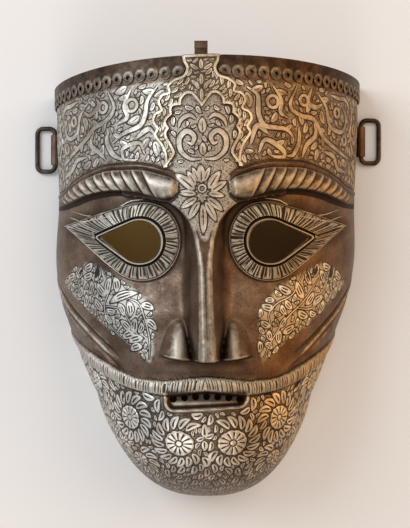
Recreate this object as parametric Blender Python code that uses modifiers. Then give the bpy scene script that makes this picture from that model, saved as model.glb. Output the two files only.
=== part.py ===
"""A forged steel war mask lying on its back, face up.

The face points to +Z, the rim of the forehead to +Y, and the mask's rear edge
lies in the plane z = 0. Sizes are in millimetres and are turned into metres
where the meshes are made.

The mask is one embossed plate. Its outer surface is a set of sections across
the face, from the rim down to the tip of the chin. Each section is half a
superellipse, and brows, eyes, nose, moustache and mouth stand out from it.
"""
import math

import bmesh
import bpy
import numpy as np
from mathutils import Matrix, Vector

MM = 0.001
COLLECTION = "war_mask"

# Plate and its outline
PLATE = 1.6
RIM_Y = 110.0
CHIN_START_Y = -56.0
CHIN_LENGTH = 60.0
FRONT_Z = 85.0
RIM_ARCH = 4.0
RIM_TILT = 2.4
REAR_ALLOWANCE = 3.0
FIT_GAP = 0.35

# Sections across the face: height up the face, half width, depth, and the
# superellipse's exponent, where 2 is an ellipse
SECTIONS = np.array([
    (-56.0, 60.2, 79.0, 2.35),
    (-46.0, 64.7, 78.5, 2.30),
    (-31.5, 70.3, 78.0, 2.25),
    (-21.0, 74.4, 77.5, 2.20),
    (-11.0, 77.9, 77.5, 2.15),
    (3.4, 81.3, 78.5, 2.10),
    (17.0, 82.3, 80.5, 2.05),
    (46.0, 81.3, 85.0, 2.00),
    (62.0, 81.8, 85.0, 2.00),
    (110.0, 83.0, 85.0, 2.00),
])
CHIN_FULLNESS = 2.5
CHIN_DEPTH_POWER = 2.2
CHIN_WIDTH_POWERS = (1.4, 2.32)

# Hand work: the left cheek is fuller, and the front leans from rim to nose
CHEEK_SWAY = 3.0
CHEEK_SWAY_Y = -36.0
CHEEK_SWAY_REACH = 62.0
LEAN_AT_NOSE = -0.7
LEAN_PER_MM = -2.9 / 150.0
NOSE_TIP_Y = -40.0

# Brow: the angle from the middle of the face in degrees, upper edge, lower edge
BROW = np.array([
    (9.0, 48.5, 45.5),
    (11.0, 51.5, 42.2),
    (14.0, 53.6, 41.0),
    (18.0, 55.4, 42.4),
    (24.0, 56.8, 44.8),
    (34.0, 57.0, 46.0),
    (46.0, 54.2, 44.6),
    (56.0, 50.4, 42.2),
    (66.0, 46.6, 40.9),
    (90.0, 45.6, 42.0),
])
BROW_HEIGHT = 4.2
BROW_FADE = (46.0, 80.0, 0.97)
FLUTE_START = 17.5
FLUTE_PITCH = 4.7
FLUTE_SLANT = 5.0
FLUTE_DEPTH = 1.6

# Eye: a teardrop hole in a raised, larger teardrop
EYE_X = 32.0
EYE_Y = 20.8
HOLE_RADIUS = 10.6
HOLE_TIP = (19.0, 2.6)
HOLE_TIP_RADIUS = 0.6
LID_RADIUS = 19.8
LID_TIP = (40.5, 9.0)
LID_TIP_RADIUS = 0.8
LID_HEIGHT = 4.4
LID_STEP = 0.9
EYE_GROOVE = (0.9, 2.4, 1.3)
SOCKET_DEPTH = 7.0
SOCKET_OUTER_DEPTH = 1.8
SOCKET_END = (64.0, 80.0)

# Nose: height up the face, half width of the flat ridge, the ridge's height
# over the face and the run of its side
NOSE = np.array([
    (-37.0, 2.7, 24.5, 6.8),
    (-30.0, 2.5, 24.0, 8.8),
    (-22.0, 2.4, 20.5, 11.5),
    (-8.0, 2.3, 14.5, 12.5),
    (8.0, 2.6, 8.5, 10.0),
    (21.0, 3.6, 3.4, 8.0),
    (28.9, 6.0, 1.2, 6.0),
    (34.5, 9.9, 0.4, 4.5),
    (39.5, 17.0, 0.0, 3.5),
    (44.0, 40.0, 0.0, 3.0),
])
NOSE_BASE_Y = -36.4
NOSE_BASE_RISE = 2.2
NOSE_HALF_BASE = 21.0
RIDGE_POWER = 1.2
RIDGE_DROP = 6.0
WING_TOP_Y = -17.0
WING_X = 13.0
WING_TOP_HALF_WIDTH = 1.5
WING_HALF_WIDTH = 8.4
WING_HEIGHT = 10.0
WING_POWERS = (0.6, 1.25)
NOSE_SOFT = (1.6, 6.0)

# Moustache: the angle from the middle of the face, upper edge, lower edge
MOUSTACHE = np.array([
    (0.0, -44.6, -52.0),
    (7.0, -45.4, -53.2),
    (15.0, -46.6, -54.0),
    (25.0, -46.2, -52.9),
    (36.0, -43.2, -50.6),
    (47.0, -38.4, -46.6),
    (60.0, -33.4, -40.6),
    (75.0, -28.2, -33.4),
    (90.0, -25.0, -29.0),
])
MOUSTACHE_HEIGHT = 2.6
MOUSTACHE_FADE = (52.0, 78.0, 0.72)

# Folds of the cheek: the angle and height of the upper one; the other runs below
FOLD = np.array([
    (28.0, -41.0),
    (40.0, -33.0),
    (57.0, -18.0),
    (72.5, -4.9),
    (84.0, 6.0),
])
FOLD_SPACING = 6.4
FOLD_DEPTH = 1.4
FOLD_ROLL = 0.7
FOLD_WIDTH = 1.7

# Mouth: a shallow recess with a row of breathing holes
MOUTH_HALF_WIDTH = 19.2
MOUTH_BOTTOM_Y = -59.5
MOUTH_DEPTH = 2.4
LIP_HEIGHT = 0.8
LIP_DROP = 1.6
LIP_WIDTH = 1.1
JAW_STEP = 1.4
MOUTH_HOLES = 7
MOUTH_HOLE_PITCH = 5.4
MOUTH_HOLE_RADIUS = 1.75
MOUTH_HOLE_Y = -54.6
MOUTH_HOLE_DROP = 1.4

# Applied rim bands, with a scalloped lower edge and a hole in each scallop.
# One end follows the plaque's waist and shoulder.
BAND_THICKNESS = 0.9
BAND_HOLE_Y = 102.0
BAND_ARC_RADIUS = 84.6
BAND_END = ((9.4, 110.0), (9.1, 107.0), (7.75, 103.8), (8.9, 101.5), (11.4, 100.4), (13.9, 99.9))
LOBE_FIRST_ANGLE = 7.6
LOBE_PITCH_ANGLE = 4.45
LOBES = 19
LOBE_RADIUS = 2.75
LOBE_HOLE_RADIUS = 1.0

# Applied forehead plaque: half outline from the middle of its top edge, as x,
# y and whether the point is a corner
PLAQUE_THICKNESS = 1.2
PLAQUE_OUTER = (
    (0.0, 110.3, 1), (9.0, 110.2, 1), (8.7, 107.0, 0), (7.3, 103.8, 0), (8.8, 100.6, 0),
    (13.4, 99.0, 0), (16.8, 96.2, 0), (16.2, 93.0, 1), (19.6, 92.2, 0), (21.8, 88.6, 0),
    (20.2, 84.6, 1), (23.4, 83.2, 0), (24.8, 79.4, 0), (22.6, 75.6, 1), (24.0, 72.4, 0),
    (20.6, 67.2, 0), (18.9, 62.4, 0), (18.9, 56.2, 1),
)
PLAQUE_INNER = (
    (13.8, 62.2, 0), (14.2, 66.0, 0), (16.6, 70.4, 0), (17.4, 73.2, 0), (15.8, 75.6, 1),
    (17.5, 78.8, 0), (14.4, 82.0, 1), (14.2, 85.6, 0), (9.9, 86.2, 1), (9.6, 88.8, 0),
    (7.4, 91.2, 0), (5.0, 91.2, 1), (0.0, 84.8, 1),
)

# Top hook: a bent strip from inside the rim, with its free tip in front
HOOK_WIDTH = 6.3
HOOK_STRIP = 1.2
HOOK_FOOT_Y = 94.0
HOOK_TOP_Y = 115.96
HOOK_TIP_Y = 112.2
HOOK_FRONT_Z = 91.6
HOOK_BEND = 1.5
HOOK_RIVET_Y = 99.0

# Strap loops and the rolled hinges that hold them
WIRE_RADIUS = 1.3
LOOP_REACH = 10.0
LOOP_LENGTH = 23.8
LOOP_CORNER = 3.2
HINGE_X = 84.95
HINGE_Z = 2.4
HINGE_LENGTH = 16.4
HINGE_LEFT_Y = 73.2
HINGE_RIGHT_Y = 77.8
SLEEVE_BORE = 1.55
HINGE_STRIP = 0.7
HINGE_GAP = 0.5
HINGE_WALL_Z = (15.0, 11.0, 7.0, 4.0, 2.0)
HINGE_TURN = ((0.1, 1.3), (0.45, 0.7))
SLEEVE_END_ANGLE = 195.0
NOTCH_HEIGHT = 1.9
RIVET_Z = 9.5
RIVET_SPACING = 9.0
RIVET_RADIUS = 0.8
RIVET_HEAD_RADIUS = 1.7
RIVET_HEAD = 0.7
RIVET_HOLE_RADIUS = 1.1
RIVET_PLAY = 0.3
RIVET_SINK = 0.15
RIVET_SHOULDER = (0.75, 0.8)
RIVET_STEPS = 10

# Mesh density
GRID_COLUMNS = 200
GRID_ROWS_FACE = 150
GRID_ROWS_CHIN = 60
SHELL_TRIANGLES = 6100
HOLE_SIDES = 8
PLAQUE_SCORE = 8.0
SHARP_ANGLE = 35.0

# Cutters reach well past what they cut
EYE_CUTTER_Z = 70.0
EYE_CUTTER_LENGTH = 80.0
MOUTH_CUTTER_Z = 75.0
MOUTH_CUTTER_LENGTH = 30.0
RIVET_CUTTER_LENGTH = 8.0
NOTCH_REACH = (74.0, 90.0)
BENCH_LOW = (-120.0, -140.0, -20.0)
BENCH_HIGH = (120.0, 140.0, 0.0)

STEEL_BROWN = (0.23, 0.17, 0.12, 1.0)
STEEL_DARK = (0.14, 0.10, 0.08, 1.0)
STEEL_SILVERED = (0.42, 0.38, 0.31, 1.0)
IRON_WIRE = (0.10, 0.07, 0.06, 1.0)


def ramp(low, high, value):
    """Rises smoothly from 0 at low to 1 at high."""
    part = np.clip((value - low) / (high - low), 0.0, 1.0)
    return part * part * (3.0 - 2.0 * part)


def bump(value, width):
    """A soft bell of height 1 round 0."""
    return np.exp(-(value / width) ** 2)


def through(value, knots, heights):
    """A smooth curve through the knots that never overshoots them, level past both ends."""
    order = np.argsort(knots)
    knots = knots[order]
    heights = heights[order]
    rise = np.diff(heights) / np.diff(knots)
    both = rise[:-1] * rise[1:]
    turn = np.where(both > 0.0, rise[:-1] + rise[1:], 1.0)
    slopes = np.concatenate([rise[:1], np.where(both > 0.0, 2.0 * both / turn, 0.0), rise[-1:]])
    left = np.clip(np.searchsorted(knots, value) - 1, 0, len(knots) - 2)
    span = knots[left + 1] - knots[left]
    part = np.clip((value - knots[left]) / span, 0.0, 1.0)
    rest = 1.0 - part
    return ((1.0 + 2.0 * part) * rest ** 2 * heights[left]
            + part * rest ** 2 * span * slopes[left]
            + part ** 2 * (3.0 - 2.0 * part) * heights[left + 1]
            - part ** 2 * rest * span * slopes[left + 1])


def section(y):
    """Half width, depth and fullness of the plate's section at height y."""
    width, depth, fullness = [through(y, SECTIONS[:, 0], SECTIONS[:, k]) for k in (1, 2, 3)]
    round_chin = np.clip((CHIN_START_Y - y) / CHIN_LENGTH, 0.0, 1.0)
    power, root = CHIN_WIDTH_POWERS
    width = width * (1.0 - round_chin ** power) ** (1.0 / root)
    depth = depth * (1.0 - round_chin ** CHIN_DEPTH_POWER) ** (1.0 / CHIN_DEPTH_POWER)
    fuller = ramp(0.0, 0.35, round_chin)
    return width, depth, fullness + (CHIN_FULLNESS - fullness) * fuller


def base_surface(angle, y):
    """The plain plate: a point at an angle from the middle of the section at y."""
    width, depth, fullness = section(y)
    sine = np.sin(np.radians(angle))
    cosine = np.cos(np.radians(angle)).clip(0.0)
    x = width * np.sign(sine) * np.abs(sine) ** (2.0 / fullness)
    z = depth * cosine ** (2.0 / fullness)
    return np.stack([x, y + 0.0 * x, z], axis=-1)


def base_normal(angle, y):
    """The outward direction of the plain plate, from its two tangents."""
    step = 0.05
    inside = np.clip(angle, -90.0 + step, 90.0 - step)
    lowest = CHIN_START_Y - CHIN_LENGTH * 0.999
    level = np.clip(y, lowest + step, RIM_Y - step)
    across = base_surface(inside + step, level) - base_surface(inside - step, level)
    along = base_surface(inside, level + step) - base_surface(inside, level - step)
    normal = np.cross(across, along)
    normal /= np.linalg.norm(normal, axis=-1, keepdims=True)
    rear = np.abs(angle) > 89.9
    normal[..., 2] = np.where(rear, 0.0, normal[..., 2])
    return normal / np.linalg.norm(normal, axis=-1, keepdims=True)


def teardrop(x, y, radius, tip, tip_radius):
    """Distance outside a teardrop with its round end at the eye's middle."""
    length = math.hypot(*tip)
    along = ((x - EYE_X) * tip[0] + (y - EYE_Y) * tip[1]) / length
    across = np.abs((x - EYE_X) * tip[1] - (y - EYE_Y) * tip[0]) / length
    slope = (radius - tip_radius) / length
    rise = math.sqrt(1.0 - slope * slope)
    foot = along * rise - across * slope
    side = across * rise + along * slope - radius
    near_round = np.hypot(across, along) - radius
    near_tip = np.hypot(across, along - length) - tip_radius
    return np.where(foot < 0.0, near_round, np.where(foot > length * rise, near_tip, side))


def brow_relief(angle, y):
    """A rounded crescent over the eye, cut by slanting flutes."""
    upper = through(angle, BROW[:, 0], BROW[:, 1])
    lower = through(angle, BROW[:, 0], BROW[:, 2])
    part = (y - lower) / (upper - lower)
    inside = np.clip(4.0 * part * (1.0 - part), 0.0, 1.0) ** 0.6
    fade_start, fade_end, loss = BROW_FADE
    fade = 1.0 - loss * ramp(fade_start, fade_end, angle)
    phase = (angle - FLUTE_SLANT * (part - 0.5) - FLUTE_START) / FLUTE_PITCH
    groove = (0.5 + 0.5 * np.cos(2.0 * np.pi * phase)) ** 1.5
    flutes = FLUTE_DEPTH * groove * ramp(-0.4, -0.1, phase)
    return (BROW_HEIGHT * ramp(8.0, 12.0, angle) - flutes) * inside * fade


def eye_relief(x, y, lower_brow):
    """The socket with the raised, teardrop-shaped eye in it."""
    nose_side = ramp(52.0, 18.0, x)
    under_brow = ramp(lower_brow + 1.5, lower_brow - 1.5, y)
    start, end = SOCKET_END
    depth = SOCKET_OUTER_DEPTH * ramp(end, start, x) + (SOCKET_DEPTH - SOCKET_OUTER_DEPTH) * nose_side
    floor = -depth * ramp(-16.0, 8.0, y) * under_brow
    inside_lid = -teardrop(x, y, LID_RADIUS, LID_TIP, LID_TIP_RADIUS)
    from_hole = teardrop(x, y, HOLE_RADIUS, HOLE_TIP, HOLE_TIP_RADIUS)
    swell = 1.0 - (1.0 - np.clip(inside_lid / (LID_RADIUS - HOLE_RADIUS), 0.0, 1.0)) ** 2
    lid = LID_STEP * ramp(0.0, 0.8, inside_lid) + (LID_HEIGHT - LID_STEP) * swell
    lip_end, groove_end, groove_depth = EYE_GROOVE
    groove = ramp(lip_end - 0.5, lip_end, from_hole) * ramp(groove_end + 0.4, groove_end - 0.2, from_hole)
    return floor + lid - groove_depth * groove


def nose_relief(x, y, face):
    """The ridge and the two wings, which stand over the face where they are higher
    and run softly into each other."""
    half, height, run = [through(y, NOSE[:, 0], NOSE[:, k]) for k in (1, 2, 3)]
    aside = np.maximum(x - half, 0.0) / run
    side = (height + SOCKET_DEPTH + 1.0) * (1.0 - np.clip(1.0 - aside, 0.0, 1.0) ** RIDGE_POWER)
    ridge = height - side - RIDGE_DROP * np.maximum(aside - 1.0, 0.0)
    drop = np.clip((WING_TOP_Y - y) / (WING_TOP_Y - NOSE_BASE_Y), 0.0, 1.0)
    half_wing = WING_TOP_HALF_WIDTH + (WING_HALF_WIDTH - WING_TOP_HALF_WIDTH) * np.sqrt(drop)
    across = np.clip(np.abs(x - WING_X) / half_wing, 0.0, 1.0)
    rise_power, round_power = WING_POWERS
    wing = WING_HEIGHT * drop ** rise_power * (1.0 - across ** 2) ** round_power
    base_y = NOSE_BASE_Y + NOSE_BASE_RISE * (x / NOSE_HALF_BASE) ** 2
    above_base = ramp(base_y - 1.6, base_y + 0.2, y)
    wing_h = face + wing * above_base
    ridge_h = ridge * above_base + (face - 1.0) * (1.0 - above_base)
    base_soft, top_soft = NOSE_SOFT
    soft = base_soft + (top_soft - base_soft) * ramp(-26.0, -12.0, y)
    near = np.clip(1.0 - np.abs(ridge_h - wing_h) / soft, 0.0, 1.0)
    return np.maximum(ridge_h, wing_h) + 0.25 * soft * near ** 2 * ramp(26.0, 6.0, y)


def mouth_relief(x, angle, y):
    """The raised moustache, the recess under it and the edge of the lower lip."""
    upper = through(angle, MOUSTACHE[:, 0], MOUSTACHE[:, 1])
    lower = through(angle, MOUSTACHE[:, 0], MOUSTACHE[:, 2])
    part = np.clip((y - lower) / (upper - lower), 0.0, 1.0)
    fade_start, fade_end, loss = MOUSTACHE_FADE
    fade = 1.0 - loss * ramp(fade_start, fade_end, angle)
    moustache = MOUSTACHE_HEIGHT * (4.0 * part * (1.0 - part)) ** 0.45 * fade
    sides = ramp(MOUTH_HALF_WIDTH + 1.0, MOUTH_HALF_WIDTH - 1.0, x)
    above = ramp(MOUTH_BOTTOM_Y - 0.7, MOUTH_BOTTOM_Y + 0.7, y)
    recess = sides * above * ramp(lower + 0.6, lower - 0.4, y)
    lip = LIP_HEIGHT * bump(y - MOUTH_BOTTOM_Y + LIP_DROP, LIP_WIDTH)
    lip = lip * ramp(MOUTH_HALF_WIDTH + 4.0, MOUTH_HALF_WIDTH, x)
    jaw_step = JAW_STEP * ramp(-54.0, -61.0, y) * ramp(-112.0, -80.0, y) * ramp(42.0, 66.0, angle)
    return moustache - MOUTH_DEPTH * recess + lip - jaw_step


def fold_relief(angle, y):
    """Two creases between the cheek and the jaw, with a soft roll between them."""
    from_fold = y - through(angle, FOLD[:, 0], FOLD[:, 1])
    creases = sum(bump(from_fold + k * FOLD_SPACING, FOLD_WIDTH) for k in range(2))
    roll = bump(from_fold + 0.5 * FOLD_SPACING, FOLD_WIDTH)
    ends = ramp(33.0, 44.0, angle) * ramp(86.0, 72.0, angle)
    return (FOLD_ROLL * roll - FOLD_DEPTH * creases) * ends


def relief(angle, x, y):
    """How far the embossed surface stands out from the plain plate."""
    angle = np.abs(angle)
    x = np.abs(x)
    lower_brow = through(angle, BROW[:, 0], BROW[:, 2])
    face = eye_relief(x, y, lower_brow)
    face = nose_relief(x, y, face)
    return face + brow_relief(angle, y) + mouth_relief(x, angle, y) + fold_relief(angle, y)


def hand_work(points):
    """Leans and sways the even shape as the hammered one does, and tilts the rim."""
    x, y, z = points[..., 0], points[..., 1], points[..., 2]
    front = np.clip(z / FRONT_Z, 0.0, 1.2)
    sway = -CHEEK_SWAY * bump(y - CHEEK_SWAY_Y, CHEEK_SWAY_REACH)
    lean = LEAN_AT_NOSE + LEAN_PER_MM * np.maximum(y - NOSE_TIP_Y, 0.0)
    half = SECTIONS[-1, 1]
    upper = ramp(20.0, 80.0, y)
    rise = RIM_TILT * upper * x / half - RIM_ARCH * ramp(60.0, RIM_Y, y) * (x / half) ** 2
    return np.stack([x + sway * (1.0 - front) + lean * front, y + rise, z], axis=-1)


def on_forehead(arc, y, out):
    """A point of an applied piece: arc from the middle line, height and distance out."""
    angle = np.degrees(arc / BAND_ARC_RADIUS)
    return hand_work(base_surface(angle, y) + out[..., None] * base_normal(angle, y))


def pressed_in(heights, points, depth):
    """The inner face: a ball of the plate's thickness rolled under the outer one."""
    reach = 3
    padded_h = np.pad(heights, reach, mode="edge")
    padded_p = np.pad(points, ((reach, reach), (reach, reach), (0, 0)), mode="edge")
    rows, columns = heights.shape
    inner = heights - depth
    for i in range(2 * reach + 1):
        for j in range(2 * reach + 1):
            gap = np.linalg.norm(padded_p[i:i + rows, j:j + columns] - points, axis=-1)
            ball = np.sqrt(np.clip(depth ** 2 - gap ** 2, 0.0, None))
            under = padded_h[i:i + rows, j:j + columns] - ball
            inner = np.where(gap < depth, np.minimum(inner, under), inner)
    return inner


def plate_grid():
    """The outer and inner points of the plate's grid."""
    angle = np.linspace(-90.0, 90.0, GRID_COLUMNS + 1)
    face_y = np.linspace(RIM_Y, CHIN_START_Y, GRID_ROWS_FACE + 1)
    turn = np.linspace(0.0, math.pi / 2.0, GRID_ROWS_CHIN + 1)[1:]
    chin_y = CHIN_START_Y - CHIN_LENGTH * np.sin(turn) ** (2.0 / CHIN_DEPTH_POWER)
    angles, heights = np.meshgrid(angle, np.concatenate([face_y, chin_y]))
    base = base_surface(angles, heights)
    normal = base_normal(angles, heights)
    normal[-1] = (0.0, -1.0, 0.0)
    outer_h = relief(angles, base[..., 0], heights)
    outer_h[-1] = outer_h[-1].mean()
    inner_h = pressed_in(outer_h, base, PLATE)
    outer = hand_work(base + outer_h[..., None] * normal)
    inner = hand_work(base + inner_h[..., None] * normal)
    return outer, inner


def with_rear_allowance(points):
    """Adds a column below the rear edge at each side, to be trimmed flat."""
    down = np.array([0.0, 0.0, -REAR_ALLOWANCE])
    return np.concatenate([points[:, :1] + down, points, points[:, -1:] + down], axis=1)


def sheet_mesh(name, outer, inner):
    """A closed wall between two grids of the same size."""
    rows, columns = outer.shape[:2]
    index = np.arange(rows * columns).reshape(rows, columns)
    corners = [index[:-1, :-1], index[1:, :-1], index[1:, 1:], index[:-1, 1:]]
    top = np.stack(corners, axis=-1).reshape(-1, 4)
    bottom = top[:, ::-1] + rows * columns
    ring = np.concatenate([index[0, ::-1], index[1:, 0], index[-1, 1:], index[-2:0:-1, -1]])
    after = np.roll(ring, -1)
    edge = np.stack([after, ring, ring + rows * columns, after + rows * columns], axis=-1)
    points = np.concatenate([outer.reshape(-1, 3), inner.reshape(-1, 3)]) * MM
    mesh = bpy.data.meshes.new(name)
    mesh.from_pydata(points.tolist(), [], np.concatenate([top, bottom, edge]).tolist())
    shape = bmesh.new()
    shape.from_mesh(mesh)
    bmesh.ops.remove_doubles(shape, verts=shape.verts, dist=0.01 * MM)
    bmesh.ops.dissolve_degenerate(shape, edges=shape.edges, dist=0.01 * MM)
    bmesh.ops.recalc_face_normals(shape, faces=shape.faces)
    shape.to_mesh(mesh)
    shape.free()
    return mesh


def metal(name, colour, roughness):
    """A plain metal finish."""
    made = bpy.data.materials.new(name)
    made.use_nodes = True
    shader = made.node_tree.nodes["Principled BSDF"]
    shader.inputs["Base Color"].default_value = colour
    shader.inputs["Metallic"].default_value = 0.9
    shader.inputs["Roughness"].default_value = roughness
    made.diffuse_color = colour
    return made


def collection(name):
    """A new collection in the scene."""
    made = bpy.data.collections.new(name)
    bpy.context.scene.collection.children.link(made)
    return made


def add_part(name, mesh, finish):
    """An object of the mask with its own finish."""
    part = bpy.data.objects.new(name, mesh)
    bpy.data.collections[COLLECTION].objects.link(part)
    mesh.materials.clear()
    mesh.materials.append(finish)
    mesh.shade_smooth()
    mesh.set_sharp_from_angle(angle=math.radians(SHARP_ANGLE))
    return part


def add_cutter(mesh):
    """A hidden body that only cuts."""
    cutter = bpy.data.objects.new(mesh.name, mesh)
    bpy.data.collections["cutters"].objects.link(cutter)
    cutter.hide_render = True
    cutter.display_type = "WIRE"
    return cutter


def cut(part, cutter):
    """Takes the cutter's shape out of the part."""
    boolean = part.modifiers.new("cut_" + cutter.name, "BOOLEAN")
    boolean.operation = "DIFFERENCE"
    boolean.solver = "EXACT"
    boolean.object = cutter


def baked(part):
    """Puts the result of the part's modifiers into its mesh."""
    graph = bpy.context.evaluated_depsgraph_get()
    mesh = bpy.data.meshes.new_from_object(part.evaluated_get(graph))
    part.modifiers.clear()
    part.data = mesh
    return part


def cylinder_mesh(name, radius, length, matrix):
    """A round bar along its own Z, put in place by the matrix."""
    mesh = bpy.data.meshes.new(name)
    shape = bmesh.new()
    bmesh.ops.create_cone(shape, cap_ends=True, segments=HOLE_SIDES, radius1=radius * MM,
                          radius2=radius * MM, depth=length * MM, matrix=matrix)
    shape.to_mesh(mesh)
    shape.free()
    return mesh


def box_mesh(name, low, high):
    """A box between two corners."""
    mesh = bpy.data.meshes.new(name)
    shape = bmesh.new()
    middle = (Vector(low) + Vector(high)) * 0.5 * MM
    size = (Vector(high) - Vector(low)) * MM
    matrix = Matrix.Translation(middle) @ Matrix.Diagonal((*size, 1.0))
    bmesh.ops.create_cube(shape, size=1.0, matrix=matrix)
    shape.to_mesh(mesh)
    shape.free()
    return mesh


def flat_mesh(name, outlines, thickness):
    """A flat plate from closed outlines in its plane; the ones inside are holes."""
    curve = bpy.data.curves.new(name, "CURVE")
    curve.dimensions = "2D"
    curve.fill_mode = "BOTH"
    curve.extrude = 0.5 * thickness * MM
    for outline in outlines:
        spline = curve.splines.new("POLY")
        spline.points.add(len(outline) - 1)
        corners = np.array([(x * MM, y * MM, 0.0, 1.0) for x, y in outline])
        spline.points.foreach_set("co", corners.ravel())
        spline.use_cyclic_u = True
    holder = bpy.data.objects.new(name, curve)
    bpy.context.scene.collection.objects.link(holder)
    graph = bpy.context.evaluated_depsgraph_get()
    mesh = bpy.data.meshes.new_from_object(holder.evaluated_get(graph))
    bpy.data.objects.remove(holder)
    shape = bmesh.new()
    shape.from_mesh(mesh)
    bmesh.ops.remove_doubles(shape, verts=shape.verts, dist=0.001 * MM)
    caps = [face for face in shape.faces if abs(face.normal.z) > 0.5]
    edges = [edge for edge in shape.edges if all(face in caps for face in edge.link_faces)]
    bmesh.ops.beautify_fill(shape, faces=caps, edges=edges)
    bmesh.ops.recalc_face_normals(shape, faces=shape.faces)
    shape.to_mesh(mesh)
    shape.free()
    mesh.name = name
    return mesh


def teardrop_outline(side, radius, tip, tip_radius, steps=16):
    """Points round a teardrop: a big arc at the eye's middle and a tiny one at the tip."""
    length = math.hypot(*tip)
    heading = math.atan2(tip[1], tip[0])
    spread = math.acos((radius - tip_radius) / length)
    points = []
    for k in range(steps + 1):
        turn = heading + spread + (2.0 * math.pi - 2.0 * spread) * k / steps
        points.append((EYE_X + radius * math.cos(turn), EYE_Y + radius * math.sin(turn)))
    for turn in (heading - spread, heading, heading + spread):
        points.append((EYE_X + tip[0] + tip_radius * math.cos(turn),
                       EYE_Y + tip[1] + tip_radius * math.sin(turn)))
    return [(side * x, y) for x, y in points]


def front_lean(y, z):
    """Where the middle line of the front lies across the mask."""
    return float(hand_work(np.array([0.0, y, z]))[0])


def eye_cutters():
    """One upright teardrop bar for each eye."""
    cutters = []
    for side, label in ((-1.0, "left"), (1.0, "right")):
        outline = teardrop_outline(side, HOLE_RADIUS, HOLE_TIP, HOLE_TIP_RADIUS)
        mesh = flat_mesh("eye_cutter_" + label, [outline], EYE_CUTTER_LENGTH)
        shift = Vector((front_lean(EYE_Y, EYE_CUTTER_Z), 0.0, EYE_CUTTER_Z)) * MM
        mesh.transform(Matrix.Translation(shift))
        cutters.append(add_cutter(mesh))
    return cutters


def mouth_cutters():
    """Seven upright bars in a slightly bowed row."""
    cutters = []
    middle = (MOUTH_HOLES - 1) / 2.0
    for k in range(MOUTH_HOLES):
        step = (k - middle) / middle
        x = front_lean(MOUTH_HOLE_Y, MOUTH_CUTTER_Z) + (k - middle) * MOUTH_HOLE_PITCH
        y = MOUTH_HOLE_Y - MOUTH_HOLE_DROP * step * step
        matrix = Matrix.Translation(Vector((x, y, MOUTH_CUTTER_Z)) * MM)
        mesh = cylinder_mesh("mouth_cutter_%d" % k, MOUTH_HOLE_RADIUS, MOUTH_CUTTER_LENGTH, matrix)
        cutters.append(add_cutter(mesh))
    return cutters


def hinge_places():
    """Side, label and height of the two strap hinges."""
    return ((-1.0, "left", HINGE_LEFT_Y), (1.0, "right", HINGE_RIGHT_Y))


def notch_cutters():
    """Shallow notches in the rear edge, where the hinge strips pass under it."""
    cutters = []
    for side, label, y in hinge_places():
        half = HINGE_LENGTH / 2.0 + 0.5
        near, far = sorted(side * reach for reach in NOTCH_REACH)
        low, high = (near, y - half, -1.0), (far, y + half, NOTCH_HEIGHT)
        cutters.append(add_cutter(box_mesh("notch_cutter_" + label, low, high)))
    return cutters


def rivet_axes():
    """Name, middle point, outward direction and strip of every rivet through the plate."""
    axes = []
    hinge_strip = HINGE_STRIP + HINGE_GAP - FIT_GAP
    for side, label, y in hinge_places():
        for row, shift in (("upper", 0.5), ("lower", -0.5)):
            place = wall_point(side, y + shift * RIVET_SPACING, RIVET_Z, -PLATE / 2.0)
            outward = wall_point(side, y + shift * RIVET_SPACING, RIVET_Z, 0.0) - place
            name = "hinge_rivet_%s_%s" % (label, row)
            axes.append((name, place, outward.normalized(), hinge_strip))
    place = forehead_point(0.0, HOOK_RIVET_Y, -PLATE / 2.0)
    outward = forehead_point(0.0, HOOK_RIVET_Y, 0.0) - place
    axes.append(("hook_rivet", place, outward.normalized(), HOOK_STRIP))
    return axes


def forehead_point(arc, y, out):
    """A point of the forehead, as a vector in millimetres."""
    return Vector(on_forehead(np.array([arc]), np.array([y]), np.array([out]))[0])


def wall_point(side, y, z, out):
    """The point of the side wall at height z, moved out from it."""
    width, depth = section(np.array([y]))[:2]
    angle = math.degrees(math.acos(z / float(depth[0])))
    angle = np.array([side * angle])
    y = np.array([y])
    return Vector(hand_work(base_surface(angle, y) + out * base_normal(angle, y))[0])


def along_axis(place, outward):
    """A matrix that puts a bar's Z on the outward direction."""
    return Matrix.Translation(place * MM) @ outward.to_track_quat("Z", "Y").to_matrix().to_4x4()


def rivet_cutter(name, place, outward):
    """A bar that cuts one rivet's hole."""
    matrix = along_axis(place, outward)
    return add_cutter(cylinder_mesh(name, RIVET_HOLE_RADIUS, RIVET_CUTTER_LENGTH, matrix))


def rivet_cutters():
    """Round holes through the plate, one for each rivet."""
    cutters = []
    for name, place, outward, _ in rivet_axes():
        cutters.append(rivet_cutter(name + "_hole", place, outward))
    return cutters


def mask_shell():
    """The embossed plate, thinned to few faces, trimmed flat behind, then pierced."""
    outer, inner = plate_grid()
    mesh = sheet_mesh("mask_shell", with_rear_allowance(outer), with_rear_allowance(inner))
    shell = add_part("mask_shell", mesh, metal("patinated_steel", STEEL_BROWN, 0.42))
    thin = shell.modifiers.new("fewer_faces", "DECIMATE")
    thin.ratio = SHELL_TRIANGLES / (2.0 * len(mesh.polygons))
    baked(shell)
    bench = add_cutter(box_mesh("bench_cutter", BENCH_LOW, BENCH_HIGH))
    for cutter in [bench] + eye_cutters() + mouth_cutters() + notch_cutters() + rivet_cutters():
        cut(shell, cutter)
    return shell


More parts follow.
